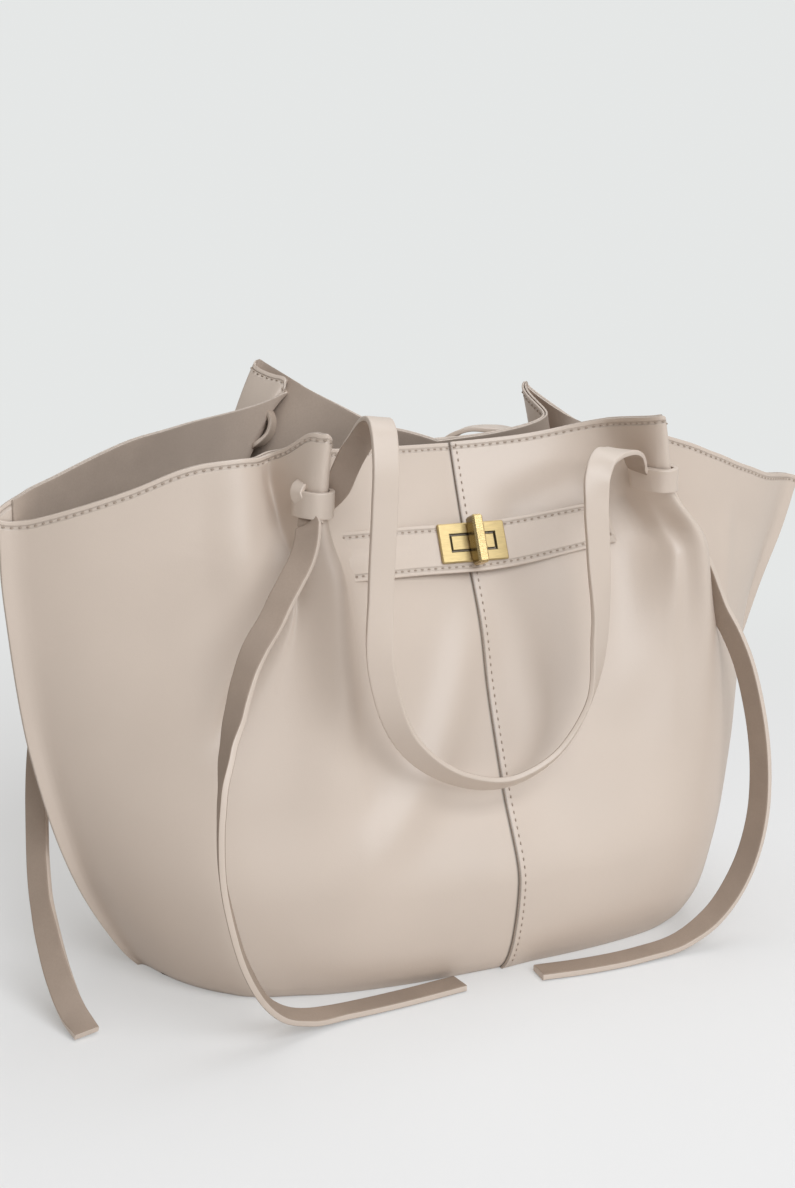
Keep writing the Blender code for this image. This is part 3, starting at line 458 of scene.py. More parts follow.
def unit(rows):
    """Rows of vectors at length one."""
    return rows / np.maximum(np.linalg.norm(rows, axis=-1, keepdims=True), 1e-12)


def grid_normals(grid, corner):
    """The outward normals of a quarter's grid."""
    along = np.gradient(grid, axis=1)
    up = np.gradient(grid, axis=0)
    normal = unit(np.cross(along, up))
    return -normal if turned_out(corner) else normal


def panel_ways():
    """The columns of a panel, closer together where it is bent more."""
    ways = [0.0]
    for near, far, count in zip(MARK_SHARES, MARK_SHARES[1:], COLUMN_COUNTS):
        ways.extend(near + (far - near) * (i + 1) / count for i in range(count))
    return np.array(ways)


def panel_levels():
    """The rows of a panel, close together at the rim."""
    levels = [0.0]
    for level, count in enumerate(ROW_COUNTS):
        levels.extend(level + (i + 1) / count for i in range(count))
    pitch = RIM_ROW_PITCH / (RIM_HEIGHT * (SECTION_SHARES[8][0] - SECTION_SHARES[7][0]))
    last = [8.0 - pitch * i for i in range(RIM_ROWS, -1, -1)]
    return np.array([level for level in levels if level < last[0] - pitch] + last)


def panel_grid(corner, leather):
    """A panel's places and outward normals; the right panels lap over the left ones."""
    grid = shell_grid(corner, panel_ways(), panel_levels())
    normals = grid_normals(grid, corner)
    if corner.endswith("right"):
        lap = np.clip(1 - np.abs(grid[..., 0:1]) / LAP_FADE, 0, 1) ** 2
        grid = grid + normals * (leather + LAP_GAP) * lap
    return grid, normals


def wall_place(corner, way, height):
    """The point of the shell at a way round and a height, and the outward normal there."""
    low, high = 0.0, 8.0
    for _ in range(40):
        middle = (low + high) / 2
        if shell_grid(corner, [way], [middle])[0, 0, 2] < height:
            low = middle
        else:
            high = middle
    step = 0.004
    patch = shell_grid(corner, [way - step, way, way + step], [low - step, low, low + step])
    return Vector(patch[1, 1]), Vector(grid_normals(patch, corner)[1, 1])


def knot_height(corner):
    """The height of the middle of a knot's band."""
    return KNOT_SHARE * RIM_HEIGHT * RIM_SHARES[corner][FIN_TOP]


# Meshes


def only(piece=None):
    """Makes one piece the active and only selected one, or selects nothing."""
    for other in bpy.context.view_layer.objects:
        other.select_set(False)
    if piece:
        piece.select_set(True)
        bpy.context.view_layer.objects.active = piece


def modify(piece, kind, **settings):
    """Gives a piece a modifier and applies it."""
    only(piece)
    modifier = piece.modifiers.new(kind.lower(), kind)
    for label, value in settings.items():
        setattr(modifier, label, value)
    bpy.ops.object.modifier_apply(modifier=modifier.name)


def face_outward(piece):
    """Turns a closed piece's faces outward."""
    only(piece)
    bpy.ops.object.mode_set(mode="EDIT")
    bpy.ops.mesh.select_all(action="SELECT")
    bpy.ops.mesh.normals_make_consistent(inside=False)
    bpy.ops.object.mode_set(mode="OBJECT")


def on_bag(piece, slot, *nodes):
    """Fixes a piece to the bag's body and hides the nodes that it replaces; its slot is not used."""
    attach(piece, "bag")
    if nodes:
        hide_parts(*nodes)


def new_piece(name, points, faces, finishes, fields=None):
    """A named mesh piece from points and faces, with its materials and its named fields."""
    data = bpy.data.meshes.new(name)
    data.from_pydata([tuple(point) for point in points], [], [tuple(face) for face in faces])
    for label, values in (fields or {}).items():
        data.attributes.new(label, "FLOAT", "POINT").data.foreach_set("value", np.asarray(values, np.float32))
    for finish in finishes:
        data.materials.append(finish)
    data.shade_smooth()
    piece = bpy.data.objects.new(name, data)
    bpy.context.scene.collection.objects.link(piece)
    return piece


def grid_faces(rows, columns, flip=False, closed=False):
    """Faces between a grid's rows and columns; a closed grid's last column joins its first."""
    faces = []
    for r in range(rows - 1):
        for c in range(columns if closed else columns - 1):
            after = (c + 1) % columns
            face = (r * columns + c, r * columns + after, (r + 1) * columns + after, (r + 1) * columns + c)
            faces.append(face[::-1] if flip else face)
    return faces


def add_wall(piece, thickness, edge_radius=0.0004, offset=-1.0):
    """Gives a leather skin its thickness and rounds its cut edges."""
    modify(piece, "SOLIDIFY", thickness=thickness, offset=offset, material_offset_rim=1)
    modify(piece, "BEVEL", width=edge_radius, segments=2, limit_method="ANGLE", angle_limit=math.radians(60))
    bpy.ops.object.shade_smooth_by_angle(angle=math.radians(50))


def read_along(places, lengths, values):
    """Rows of values known at lengths along a line, read at places along it."""
    return np.stack([np.interp(places, lengths, column) for column in np.asarray(values).T], axis=1)


def one_stitch():
    """One stitch of thread: a capsule along X."""
    only()
    bpy.ops.mesh.primitive_uv_sphere_add(segments=8, ring_count=6, radius=1.0, rotation=(0, math.pi / 2, 0))
    pattern = bpy.context.active_object
    bpy.ops.object.transform_apply(location=False, rotation=True, scale=False)
    points = np.array([tuple(vertex.co) for vertex in pattern.data.vertices])
    faces = [tuple(face.vertices) for face in pattern.data.polygons]
    bpy.data.objects.remove(pattern)
    return points, faces


def stitch_row(name, rows, pitch, thread):
    """Stitches along rows of points on a surface, each row given with its outward normals.

    A stitch is bowed, and its ends dip into the leather.
    """
    pattern, pattern_faces = one_stitch()
    points, faces = [], []
    for route, normals in rows:
        lengths = np.concatenate(([0.0], np.cumsum(np.linalg.norm(np.diff(route, axis=0), axis=1))))
        count = max(2, int(round(lengths[-1] / pitch)))
        at = (np.arange(count) + 0.5) * lengths[-1] / count
        ahead, behind = (read_along(at + step, lengths, route) for step in (pitch / 4, -pitch / 4))
        along = unit(ahead - behind)
        out = read_along(at, lengths, normals)
        out = unit(out - along * np.sum(out * along, axis=1, keepdims=True))
        side = np.cross(along, out)
        for place, way, up, across in zip(read_along(at, lengths, route), along, out, side):
            if place[2] < LOWEST_STITCH:
                continue
            rise = pattern[:, 2:3] * 0.5 + (1 - pattern[:, :1] ** 2) * 0.55 - 0.25
            stitch = (place + way * pattern[:, :1] * pitch * STITCH_SHARE / 2
                      + across * pattern[:, 1:2] * thread / 2 + up * rise * thread)
            faces.extend(tuple(i + len(points) * len(pattern) for i in face) for face in pattern_faces)
            points.append(stitch)
    piece = new_piece(name, np.concatenate(points), faces, [finish("thread")])
    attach(piece, "bag")


def groups_of(route):
    """The places of a route, in metres, and the way that the outer face looks at each."""
    places = [Vector(place) / 1000 for _, *group in route for place in group]
    return places, [Vector(facing) for facing, *group in route for _ in group]


def smooth_route(points, steps):
    """A smooth curve through points, with its place between them."""
    spans = [(there - here).length for here, there in zip(points, points[1:])]
    ways = [(points[i + 1] - points[i]) / span for i, span in enumerate(spans)]
    slopes = [ways[0]]
    for i in range(1, len(spans)):
        slopes.append((ways[i - 1] * spans[i] + ways[i] * spans[i - 1]) / (spans[i - 1] + spans[i]))
    slopes.append(ways[-1])
    made = []
    for i, span in enumerate(spans):
        out, into = slopes[i] * span, slopes[i + 1] * span
        for step in range(steps):
            t = step / steps
            square, cube = t * t, t * t * t
            point = ((2 * cube - 3 * square + 1) * points[i] + (cube - 2 * square + t) * out
                     + (3 * square - 2 * cube) * points[i + 1] + (cube - square) * into)
            made.append((point, i + t))
    made.append((points[-1], float(len(spans))))
    return made


def strap_stations(points, facings, steps=8):
    """Places along a strap's smooth route, each with the strap's direction and outer face."""
    facings = [facing.normalized() for facing in facings]
    route = smooth_route(points, steps)
    stations = []
    for i, (point, place) in enumerate(route):
        along = (route[min(i + 1, len(route) - 1)][0] - route[max(i - 1, 0)][0]).normalized()
        first = min(int(place), len(facings) - 2)
        t = place - first
        t = t * t * (3 - 2 * t)
        facing = facings[first].lerp(facings[first + 1], t)
        facing = (facing - along * facing.dot(along)).normalized()
        stations.append((point, along, facing))
    return stations


def strap_profile(width, thick, radius):
    """The rounded outline of a strap's section, as places across and out of its face."""
    outline = []
    for corner_x, corner_y, start in ((1, 1, 0), (-1, 1, 90), (-1, -1, 180), (1, -1, 270)):
        for step in range(4):
            angle = math.radians(start + step * 30)
            outline.append((corner_x * (width / 2 - radius) + radius * math.cos(angle),
                            corner_y * (thick / 2 - radius) + radius * math.sin(angle)))
    rows = []
    for (x, y), (after_x, _) in zip(outline, outline[1:] + outline[:1]):
        rows.append((x, y))
        if abs(after_x - x) > width / 2:
            rows.extend((x + (after_x - x) * t, y) for t in (0.06, 0.3, 0.5, 0.7, 0.94))
    return rows


def strap_ring(station, profile, wide=1.0, high=1.0, lowest=FLOOR_GAP):
    """The points of a strap's section at a station, kept above the floor."""
    point, along, facing = station
    across = along.cross(facing)
    ring = [point + across * x * wide + facing * y * high for x, y in profile]
    for place in ring:
        place.z = max(place.z, lowest)
    return ring


def strap_piece(name, stations, width=STRAP_WIDTH, thick=STRAP_THICK, brown=(-1,)):
    """A leather strap lofted through its stations, with square ends; its brown faces are the given sides."""
    profile = strap_profile(width, thick, STRAP_ROUNDING)
    count = len(profile)
    points = [place for station in stations for place in strap_ring(station, profile)]
    faces = grid_faces(len(stations), count, closed=True)
    for end in (0, len(stations) - 1):
        cap = [len(points) + i for i in range(count)]
        points += strap_ring(stations[end], profile, 0.96, 0.72, 2 * FLOOR_GAP)
        ring = [end * count + i for i in range(count)]
        rim = list(zip(ring, ring[1:] + ring[:1], cap[1:] + cap[:1], cap))
        faces += [face if end else face[::-1] for face in (*rim, cap)]
    far = np.full(len(points), 2.0)
    piece = new_piece(name, points, faces, [finish("leather"), finish("strap_back_and_shade")],
                      {"stitch_way": far, "lap_way": far})
    behind = [any((y + after) * side > thick * 0.84 for side in brown)
              for (_, y), (_, after) in zip(profile, profile[1:] + profile[:1])]
    for face in piece.data.polygons[:(len(stations) - 1) * count]:
        face.material_index = int(behind[face.index % count])
    face_outward(piece)
    bpy.ops.object.shade_smooth_by_angle(angle=math.radians(50))
    return piece


# Materials


class Wire:
    """A shader socket that can be added, multiplied and so on with other sockets and numbers."""

    def __init__(self, nodes, socket):
        self.nodes = nodes
        self.socket = socket

    def __add__(self, other):
        return self.nodes.math("ADD", self, other)

    def __sub__(self, other):
        return self.nodes.math("SUBTRACT", self, other)

    def __rsub__(self, other):
        return self.nodes.math("SUBTRACT", other, self)

    def __mul__(self, other):
        return self.nodes.math("MULTIPLY", self, other)

    def __abs__(self):
        return self.nodes.math("ABSOLUTE", self)

    __radd__ = __add__
    __rmul__ = __mul__


class Nodes:
    """The node tree of a material or a world, and the calls that wire it."""

    def __init__(self, owner):
        self.owner = owner
        owner.use_nodes = True
        self.tree = owner.node_tree
        self.tree.nodes.clear()

    def add(self, kind, settings=None, values=None, output=0):
        """Adds a node, sets it, fills its sockets and returns one of its outputs."""
        node = self.tree.nodes.new(kind)
        for label, value in (settings or {}).items():
            setattr(node, label, value)
        for label, value in (values or {}).items():
            socket = node.inputs[label]
            if isinstance(value, Wire):
                self.tree.links.new(value.socket, socket)
            elif socket.type == "RGBA":
                socket.default_value = (*value, 1.0)
            else:
                socket.default_value = value
        return Wire(self, node.outputs[output]) if node.outputs else None

    def math(self, operation, *values, clamped=False):
        """Adds a sum on sockets and numbers."""
        return self.add("ShaderNodeMath", {"operation": operation, "use_clamp": clamped},
                        dict(enumerate(values)))

    def place(self, scale=(1, 1, 1), turn=(0, 0, 0)):
        """Places on the piece, stretched and turned."""
        spot = self.add("ShaderNodeTexCoord", output="Object")
        return self.add("ShaderNodeMapping", {}, {"Vector": spot, "Scale": scale, "Rotation": turn})

    def noise(self, spot, scale, detail=3.0, roughness=0.55):
        return self.add("ShaderNodeTexNoise", {}, {"Vector": spot, "Scale": scale, "Detail": detail,
                                                  "Roughness": roughness})

    def mix(self, share, first, second):
        """A colour between two, by a share."""
        return self.add("ShaderNodeMix", {"data_type": "RGBA"}, {0: share, 6: first, 7: second}, output=2)

    def clamp(self, value, low, high, to_low=0.0, to_high=1.0):
        """Reads one range of values as another, with soft ends."""
        return self.add("ShaderNodeMapRange", {"interpolation_type": "SMOOTHSTEP"},
                        {0: value, 1: low, 2: high, 3: to_low, 4: to_high})

    def near(self, field, full, none):
        """How near a point is to a line that a mesh field measures: 1 up to full, 0 from none on."""
        way = self.add("ShaderNodeAttribute", {"attribute_name": field}, output="Fac")
        return self.clamp(abs(way - 1.0), full, none, 1.0, 0.0)

    def bump(self, strength, distance, height, **under):
        """The surface's direction, as the given height dents it, over any bump under it."""
        return self.add("ShaderNodeBump", {}, {"Strength": strength, "Distance": distance, "Height": height,
                                              **under})

    def finish(self, **sockets):
        """Ends a material in its shader; a socket's name has underscores for its spaces here."""
        values = {label.replace("_", " "): value for label, value in sockets.items()}
        shader = self.add("ShaderNodeBsdfPrincipled", {}, values)
        self.add("ShaderNodeOutputMaterial", {}, {"Surface": shader})
        return self.owner


def new_material(name):
    """The nodes of a new material."""
    return Nodes(bpy.data.materials.new(name))


def toned(color, share):
    """A colour made darker or brighter by a share."""
    return tuple(min(1.0, part * share) for part in color)


def leather_finish(name, color, grain=1.0):
    """Smooth full-grain leather: fine pores, soft blotches, pressed grooves under the stitches with painted
    shade in them, and a painted shadow line along the edge of the lapped centre seam.
    """
    make = new_material(name)
    spot = make.place()
    blotch = make.noise(spot, 9.0, 2.0)
    fine = make.noise(spot, 420.0, 4.0, 0.6)
    pores = make.add("ShaderNodeTexVoronoi", {}, {"Vector": spot, "Scale": 780.0, "Randomness": 1.0})
    creases = make.add("ShaderNodeTexVoronoi", {"feature": "DISTANCE_TO_EDGE"},
                       {"Vector": make.place((1.0, 1.0, 1.0), (0.4, 0.7, 0.2)), "Scale": 520.0})
    groove_and_shade = make.near("stitch_way", 0.0004, 0.0015)
    lap_shadow = make.near("lap_way", 0.0002, 0.0017)
    dark = toned(color, 0.955)
    tone = make.mix(make.clamp(blotch, 0.30, 0.70), dark, toned(color, 1.02))
    tone = make.mix(make.clamp(fine, 0.35, 0.65, 0.0, 0.10), tone, dark)
    # Painted shade in the pressed grooves under the stitches: the colour is darkened along them.
    tone = make.mix(groove_and_shade * 0.22, tone, toned(color, 0.55))
    # Painted shadow along the edge of the lapped centre seam: a dark line on both panels beside the lap's
    # edge.
    tone = make.mix(lap_shadow * 0.80, tone, toned(color, 0.16))
    rough = 0.44 + 0.10 * (fine - 0.5) + 0.04 * (blotch - 0.5) + 0.08 * groove_and_shade
    height = 0.35 * fine - 0.30 * make.clamp(creases, 0.0, 0.10, 1.0, 0.0) + 0.25 * pores
    bump = make.bump(0.9, 0.0006, 1.0 - groove_and_shade, Normal=make.bump(0.16 * grain, 0.0002, height))
    return make.finish(Base_Color=tone, Roughness=rough, Normal=bump)


def fibre_finish(name, color, dark, roughness, bump, grain, uneven=0.1, stretch=1.0, softened=False):
    """A fibrous surface: a cut edge worn along its fibres, twisted thread or pressed board."""
    make = new_material(name)
    fibre = make.noise(make.place((1.0, 1.0, stretch)), *grain)
    share = make.clamp(fibre, 0.3, 0.7) if softened else fibre
    return make.finish(Base_Color=make.mix(share, toned(color, dark), color),
                       Roughness=roughness + uneven * (fibre - 0.5), Normal=make.bump(*bump, fibre))


def lining_finish(name, color):
    """The leather's smooth backing, brown and matt."""
    make = new_material(name)
    spot = make.place()
    broad = make.noise(spot, 22.0)
    nap = make.noise(spot, 900.0, 4.0, 0.65)
    tone = make.mix(make.clamp(broad, 0.3, 0.7), toned(color, 0.85), color)
    tone = make.mix(make.clamp(nap, 0.3, 0.7, 0.0, 0.25), tone, toned(color, 0.75))
    return make.finish(Base_Color=tone, Roughness=0.66 + 0.1 * (nap - 0.5),
                       Normal=make.bump(0.25, 0.0003, nap))


def brass_finish(name, color, roughness, slot=None, flank_shade=0.0):
    """Brushed gold-plated metal, with painted shade along its slot's edge and on the flanks that face -X."""
    make = new_material(name)
    brushed = make.noise(make.place((18.0, 400.0, 260.0)), 9.0, 4.0, 0.7)
    smear = make.noise(make.place(), 160.0, 2.0)
    tone = make.mix(make.clamp(brushed, 0.3, 0.7), toned(color, 0.80), color)
    dark = toned(color, 0.10)
    # Painted shade: the flanks that face -X are darkened, as if turned away from the light.
    if flank_shade:
        side = make.add("ShaderNodeSeparateXYZ", {}, {0: make.add("ShaderNodeTexCoord", output="Normal")})
        tone = make.mix(make.clamp(-1.0 * side, 0.45, 0.85, 0.0, flank_shade), tone, dark)
    # Painted shadow in the gap round the slot: a dark band along the slot's edge.
    if slot:
        spot = make.add("ShaderNodeTexCoord", output="Object")
        spot = make.add("ShaderNodeVectorMath", {"operation": "SUBTRACT"}, {0: spot, 1: LOCK_PLACE})
        along = make.add("ShaderNodeSeparateXYZ", {}, {0: spot})
        up = make.add("ShaderNodeVectorMath", {"operation": "DOT_PRODUCT"},
                      {0: spot, 1: (0.0, LOCK_FACING[2], -LOCK_FACING[1])}, output=1)
        edge = make.math("MAXIMUM", abs(along) - slot[0] / 2, abs(up) - slot[1] / 2)
        tone = make.mix(make.clamp(abs(edge + 0.0004), 0.0007, 0.0010, 0.95, 0.0), tone, dark)
    rough = roughness + 0.16 * (brushed - 0.5) + 0.10 * (smear - 0.5)
    return make.finish(Base_Color=tone, Roughness=rough, Metallic=1.0,
                       Normal=make.bump(0.12, 0.0001, brushed))


def floor_finish(color):
    """A matt pale floor that keeps the bag's shadow and fades into the backdrop further out."""
    make = new_material("studio_floor")
    spot = make.place()
    tone = make.mix(make.noise(spot, 3.0, 2.0), toned(color, 0.99), color)
    matt = make.add("ShaderNodeBsdfPrincipled", {}, {"Base Color": tone, "Roughness": 0.8})
    away = make.add("ShaderNodeVectorMath", {"operation": "LENGTH"}, {0: spot}, output=1)
    seen = make.math("MAXIMUM", *(make.add("ShaderNodeLightPath", output=ray)
                                  for ray in ("Is Camera Ray", "Is Glossy Ray")))
    glow = make.add("ShaderNodeEmission", {}, {"Color": BACKDROP, "Strength": 1.0})
    whole = make.add("ShaderNodeMixShader", {}, {0: make.clamp(away, 0.30, 1.05, 0.34, 1.0) * seen,
                                                1: matt, 2: glow})
    make.add("ShaderNodeOutputMaterial", {}, {"Surface": whole})
    return make.owner


FINISHES = {}


def finish(name):
    """A material by name, made once from the colours in the panel."""
    if name not in FINISHES:
        look = bpy.context.scene.shopper_look
        makers = {
            "leather": lambda: leather_finish("taupe_leather", look.leather),
            "belt_leather": lambda: leather_finish("pebbled_leather", look.leather, grain=3.0),
            "strap_back_and_shade": lambda: lining_finish("strap_back_and_shade", look.strap_back_and_shade),
            "lining": lambda: lining_finish("lining_leather", look.lining),
            "edge": lambda: fibre_finish("leather_edge", look.leather, 0.74, 0.62, bump=(0.3, 0.0002),
                                         grain=(700.0, 3.0), stretch=3.0, softened=True),
            "thread": lambda: fibre_finish("thread", look.thread, 0.7, 0.6, bump=(0.5, 0.0001),
                                           grain=(2600.0, 2.0)),
            "board": lambda: fibre_finish("base_board", BOARD_COLOR, 0.7, 0.85, bump=(0.3, 0.0004),
                                          grain=(260.0, 5.0, 0.7), uneven=0.08, stretch=4.0),
            "gold": lambda: brass_finish("brushed_gold", look.gold, 0.40),
            "slotted_gold": lambda: brass_finish("slotted_gold", look.gold, 0.44, LOCK_SLOT),
            # The knob is the same gold painted brighter as a painted highlight, with painted shade on its -X
            # flanks.
            "knob_gold": lambda: brass_finish("knob_gold", toned(look.gold, KNOB_PAINTED_LIGHT), 0.26, flank_shade=0.8),
            "floor": lambda: floor_finish(look.floor),
        }
        FINISHES[name] = makers[name]()
    return FINISHES[name]


# The settings that a user would change


class ShopperSizes(bpy.types.PropertyGroup):
    """Sizes of the leather, the lining, the stitches and the thread."""

    leather: bpy.props.FloatProperty(name="Leather", description="Thickness of a panel", default=0.0014,
                                     min=0.0008, max=0.003, unit="LENGTH")
    lining: bpy.props.FloatProperty(name="Lining", description="Thickness of the lining", default=0.0012,
                                    min=0.0005, max=0.002, unit="LENGTH")
    stitch: bpy.props.FloatProperty(name="Stitch", description="Length from one stitch to the next",
                                    default=0.0044, min=0.002, max=0.008, unit="LENGTH")
    thread: bpy.props.FloatProperty(name="Thread", description="Thickness of the thread", default=0.0009,
                                    min=0.0004, max=0.0015, unit="LENGTH")


class ShopperLook(bpy.types.PropertyGroup):
    """Colours of the bag and of the floor."""

    leather: bpy.props.FloatVectorProperty(name="Leather", description="Colour of the leather",
                                           default=(0.573, 0.472, 0.390), min=0, max=1, subtype="COLOR")
    lining: bpy.props.FloatVectorProperty(name="Lining", description="Colour of the inside",
                                          default=(0.43, 0.335, 0.265), min=0, max=1, subtype="COLOR")
    # The brown of the straps' backs; it is also laid on the outer faces of the loose ends and of the loop
    # inside the back fin as painted shade.
    strap_back_and_shade: bpy.props.FloatVectorProperty(name="Strap back",
                                              description="Colour of the back of the straps",
                                              default=(0.355, 0.268, 0.205), min=0, max=1, subtype="COLOR")
    thread: bpy.props.FloatVectorProperty(name="Thread", description="Colour of the stitches",
                                          default=(0.40, 0.31, 0.24), min=0, max=1, subtype="COLOR")
    gold: bpy.props.FloatVectorProperty(name="Gold", description="Colour of the lock",
                                        default=(0.56, 0.42, 0.205), min=0, max=1, subtype="COLOR")
    floor: bpy.props.FloatVectorProperty(name="Floor", description="Colour of the floor",
                                         default=(0.83, 0.80, 0.775), min=0, max=1, subtype="COLOR")


# The pieces


class SHOPPER_OT_tails(bpy.types.Operator):
    """Makes the four loose strap ends, from the knots to the floor"""

    bl_idname = "shopper.tails"
    bl_label = "Loose strap ends"

    def execute(self, context):
        for corner in CORNERS:
            height = knot_height(corner) - STRAP_WIDTH / 2 - ROOT_GAP
            point, normal = wall_place(corner, TAIL_WAYS[corner], height)
            start = point + normal * (KNOT_GAP + STRAP_THICK / 2)
            inside = start - normal * TAIL_DIP + Vector((0.0, 0.0, TAIL_RISE))
            facing = normal * TAIL_SIDES[corner]
            places, facings = groups_of(TAIL_ROUTES[corner])
            stations = strap_stations([inside, start, *places], [facing, facing, *facings])
            # Both faces of a loose end are brown: the back is the strap's own brown, the outer face's brown
            # is painted shade.
            piece = strap_piece(corner + "_loose_end", stations, thick=TAIL_THICK, brown=(-1, 1))
            on_bag(piece, "taupe_leather", corner + "_strap_tail")
            length = sum((b[0] - a[0]).length for a, b in zip(stations, stations[1:]))
        return {"FINISHED"}


class SHOPPER_OT_body(bpy.types.Operator):
    """Makes the four leather panels, lapped at the centre seams"""

    bl_idname = "shopper.body"
    bl_label = "Leather panels"

    def execute(self, context):
        leather = context.scene.shopper_sizes.leather
        for corner in CORNERS:
            face, side = corner.split("_")
            grid, _ = panel_grid(corner, leather)
            if side == "left":
                under = shell_grid(face + "_right", LAP_WAYS, panel_levels())
                grid = np.concatenate((under, grid), axis=1)
            seam_way = row_distance(grid)
            stitched = np.abs(column_distance(grid) - STITCH_INSET)
            # lap_way measures the distance from the lap's edge, along which the leather finish paints a
            # shadow line.
            if side == "right":
                lap_way = seam_way + LAP_SHADE
                stitched = np.minimum(stitched, np.abs(seam_way - STITCH_INSET))
            else:
                lap_way = seam_way - seam_way[:, 2:3]
            fields = {"stitch_way": 1.0 + stitched.ravel(), "lap_way": 1.0 + lap_way.ravel()}
            piece = new_piece(corner + "_leather", grid.reshape(-1, 3),
                              grid_faces(*grid.shape[:2], turned_out(corner)),
                              [finish("leather"), finish("edge")], fields)
            add_wall(piece, leather)
            on_bag(piece, "taupe_leather", corner + "_panel")
        return {"FINISHED"}


def column_distance(grid):
    """How far each point is below the rim, along its column."""
    steps = np.linalg.norm(np.diff(grid, axis=0), axis=2)
    below = np.zeros(grid.shape[:2])
    below[:-1] = np.cumsum(steps[::-1], axis=0)[::-1]
    return below


def row_distance(grid):
    """How far each point is from its row's first point."""
    steps = np.linalg.norm(np.diff(grid, axis=1), axis=2)
    along = np.zeros(grid.shape[:2])
    along[:, 1:] = np.cumsum(steps, axis=1)
    return along


class SHOPPER_OT_lining(bpy.types.Operator):
    """Makes the front and back linings, which show as the inner layer of the rim"""

    bl_idname = "shopper.lining"
    bl_label = "Linings"

    def execute(self, context):
        sizes = context.scene.shopper_sizes
        ways = panel_ways()
        ways = ways[ways <= LINING_LAST_WAY]
        levels = panel_levels()
        levels = levels[levels >= LINING_LOW_LEVEL]
        for face in ("front", "back"):
            halves = []
            for corner in (face + "_left", face + "_right"):
                grid = shell_grid(corner, ways, levels)
                halves.append(grid - (sizes.leather + LINING_GAP) * grid_normals(grid, corner))
            grid = np.concatenate((halves[0][:, ::-1], halves[1][:, 1:]), axis=1)
            piece = new_piece(face + "_inside", grid.reshape(-1, 3),
                              grid_faces(*grid.shape[:2], face == "back"), [finish("lining"), finish("edge")])
            add_wall(piece, sizes.lining)
            on_bag(piece, "lining_leather", face + "_lining")
        return {"FINISHED"}


class SHOPPER_OT_seams(bpy.types.Operator):
    """Makes the rows of stitches along the rim and the centre seams"""

    bl_idname = "shopper.seams"
    bl_label = "Stitches"

    def execute(self, context):
        sizes = context.scene.shopper_sizes
        for corner in CORNERS:
            grid, normals = panel_grid(corner, sizes.leather)
            rows = [inset_row(grid, normals, "rim")]
            if corner.endswith("right"):
                rows.append(inset_row(grid, normals, "seam"))
            stitch_row(corner + "_stitches", rows, sizes.stitch, sizes.thread)
        return {"FINISHED"}


def inset_row(grid, normals, which):
    """A line on the surface at the stitches' distance from one of its edges, with its normals."""
    if which == "rim":
        away, grid, normals = column_distance(grid).T, grid.swapaxes(0, 1), normals.swapaxes(0, 1)
    else:
        away = row_distance(grid)
    lines = [], []
    for far, *rows in zip(away, grid, normals):
        order = np.argsort(far)
        for line, row in zip(lines, rows):
            line.append([np.interp(STITCH_INSET, far[order], row[order, axis]) for axis in range(3)])
    return np.array(lines[0]), np.array(lines[1])


class SHOPPER_OT_handles(bpy.types.Operator):
    """Makes the two handle straps, which hang from the knots in front and behind"""

    bl_idname = "shopper.handles"
    bl_label = "Handle straps"

    def execute(self, context):
        for face, route, away in (("front", FRONT_ROUTE, -1.0), ("back", BACK_ROUTE, 1.0)):
            piece = strap_piece(face + "_strap", strap_stations(*groups_of(route)))
            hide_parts(face + "_handle", face + "_left_strap_root", face + "_right_strap_root")
            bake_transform(piece)
        return {"FINISHED"}


class SHOPPER_OT_knots(bpy.types.Operator):
    """Makes the turns of strap that hold the fins closed"""

    bl_idname = "shopper.knots"
    bl_label = "Knots"

    def execute(self, context):
        for corner in CORNERS:
            places, facings = [], []
            ways = np.linspace(*BAND_WAYS[corner], 11)
            for way in ways:
                point, facing = wall_place(corner, way, knot_height(corner))
                seat = -BAND_DIP if way in (ways[0], ways[-1]) else KNOT_GAP + STRAP_THICK / 2
                places.append(point + facing * seat)
                facings.append(facing)
            piece = strap_piece(corner + "_knot", strap_stations(places, facings, steps=5))
            on_bag(piece, "taupe_leather", corner + "_knot_band")
        for corner, (route, width) in KNOT_LOOPS.items():
            # The loop inside the back fin is brown on both faces; on its outer face the brown is painted
            # shade.
            brown = (-1, 1) if corner.startswith("back") else (-1,)
            stations = strap_stations(*groups_of(route))
            on_bag(strap_piece(corner + "_knot_loop", stations, width, brown=brown), "taupe_leather")
        return {"FINISHED"}


FRONT_POINTS = {}


def front_depth(x, height):
    """The depth of the front shell at a place across and up, from its nearest drawn points."""
    corner = "front_right" if x >= 0 else "front_left"
    if corner not in FRONT_POINTS:
        FRONT_POINTS[corner] = shell_grid(corner, panel_ways(), np.linspace(5, 8, 90)).reshape(-1, 3)
    points = FRONT_POINTS[corner]
    away = np.hypot(points[:, 0] - x, points[:, 2] - height)
    near = np.argsort(away)[:4]
    return float(np.average(points[near, 1], weights=1 / (away[near] + 1e-5)))


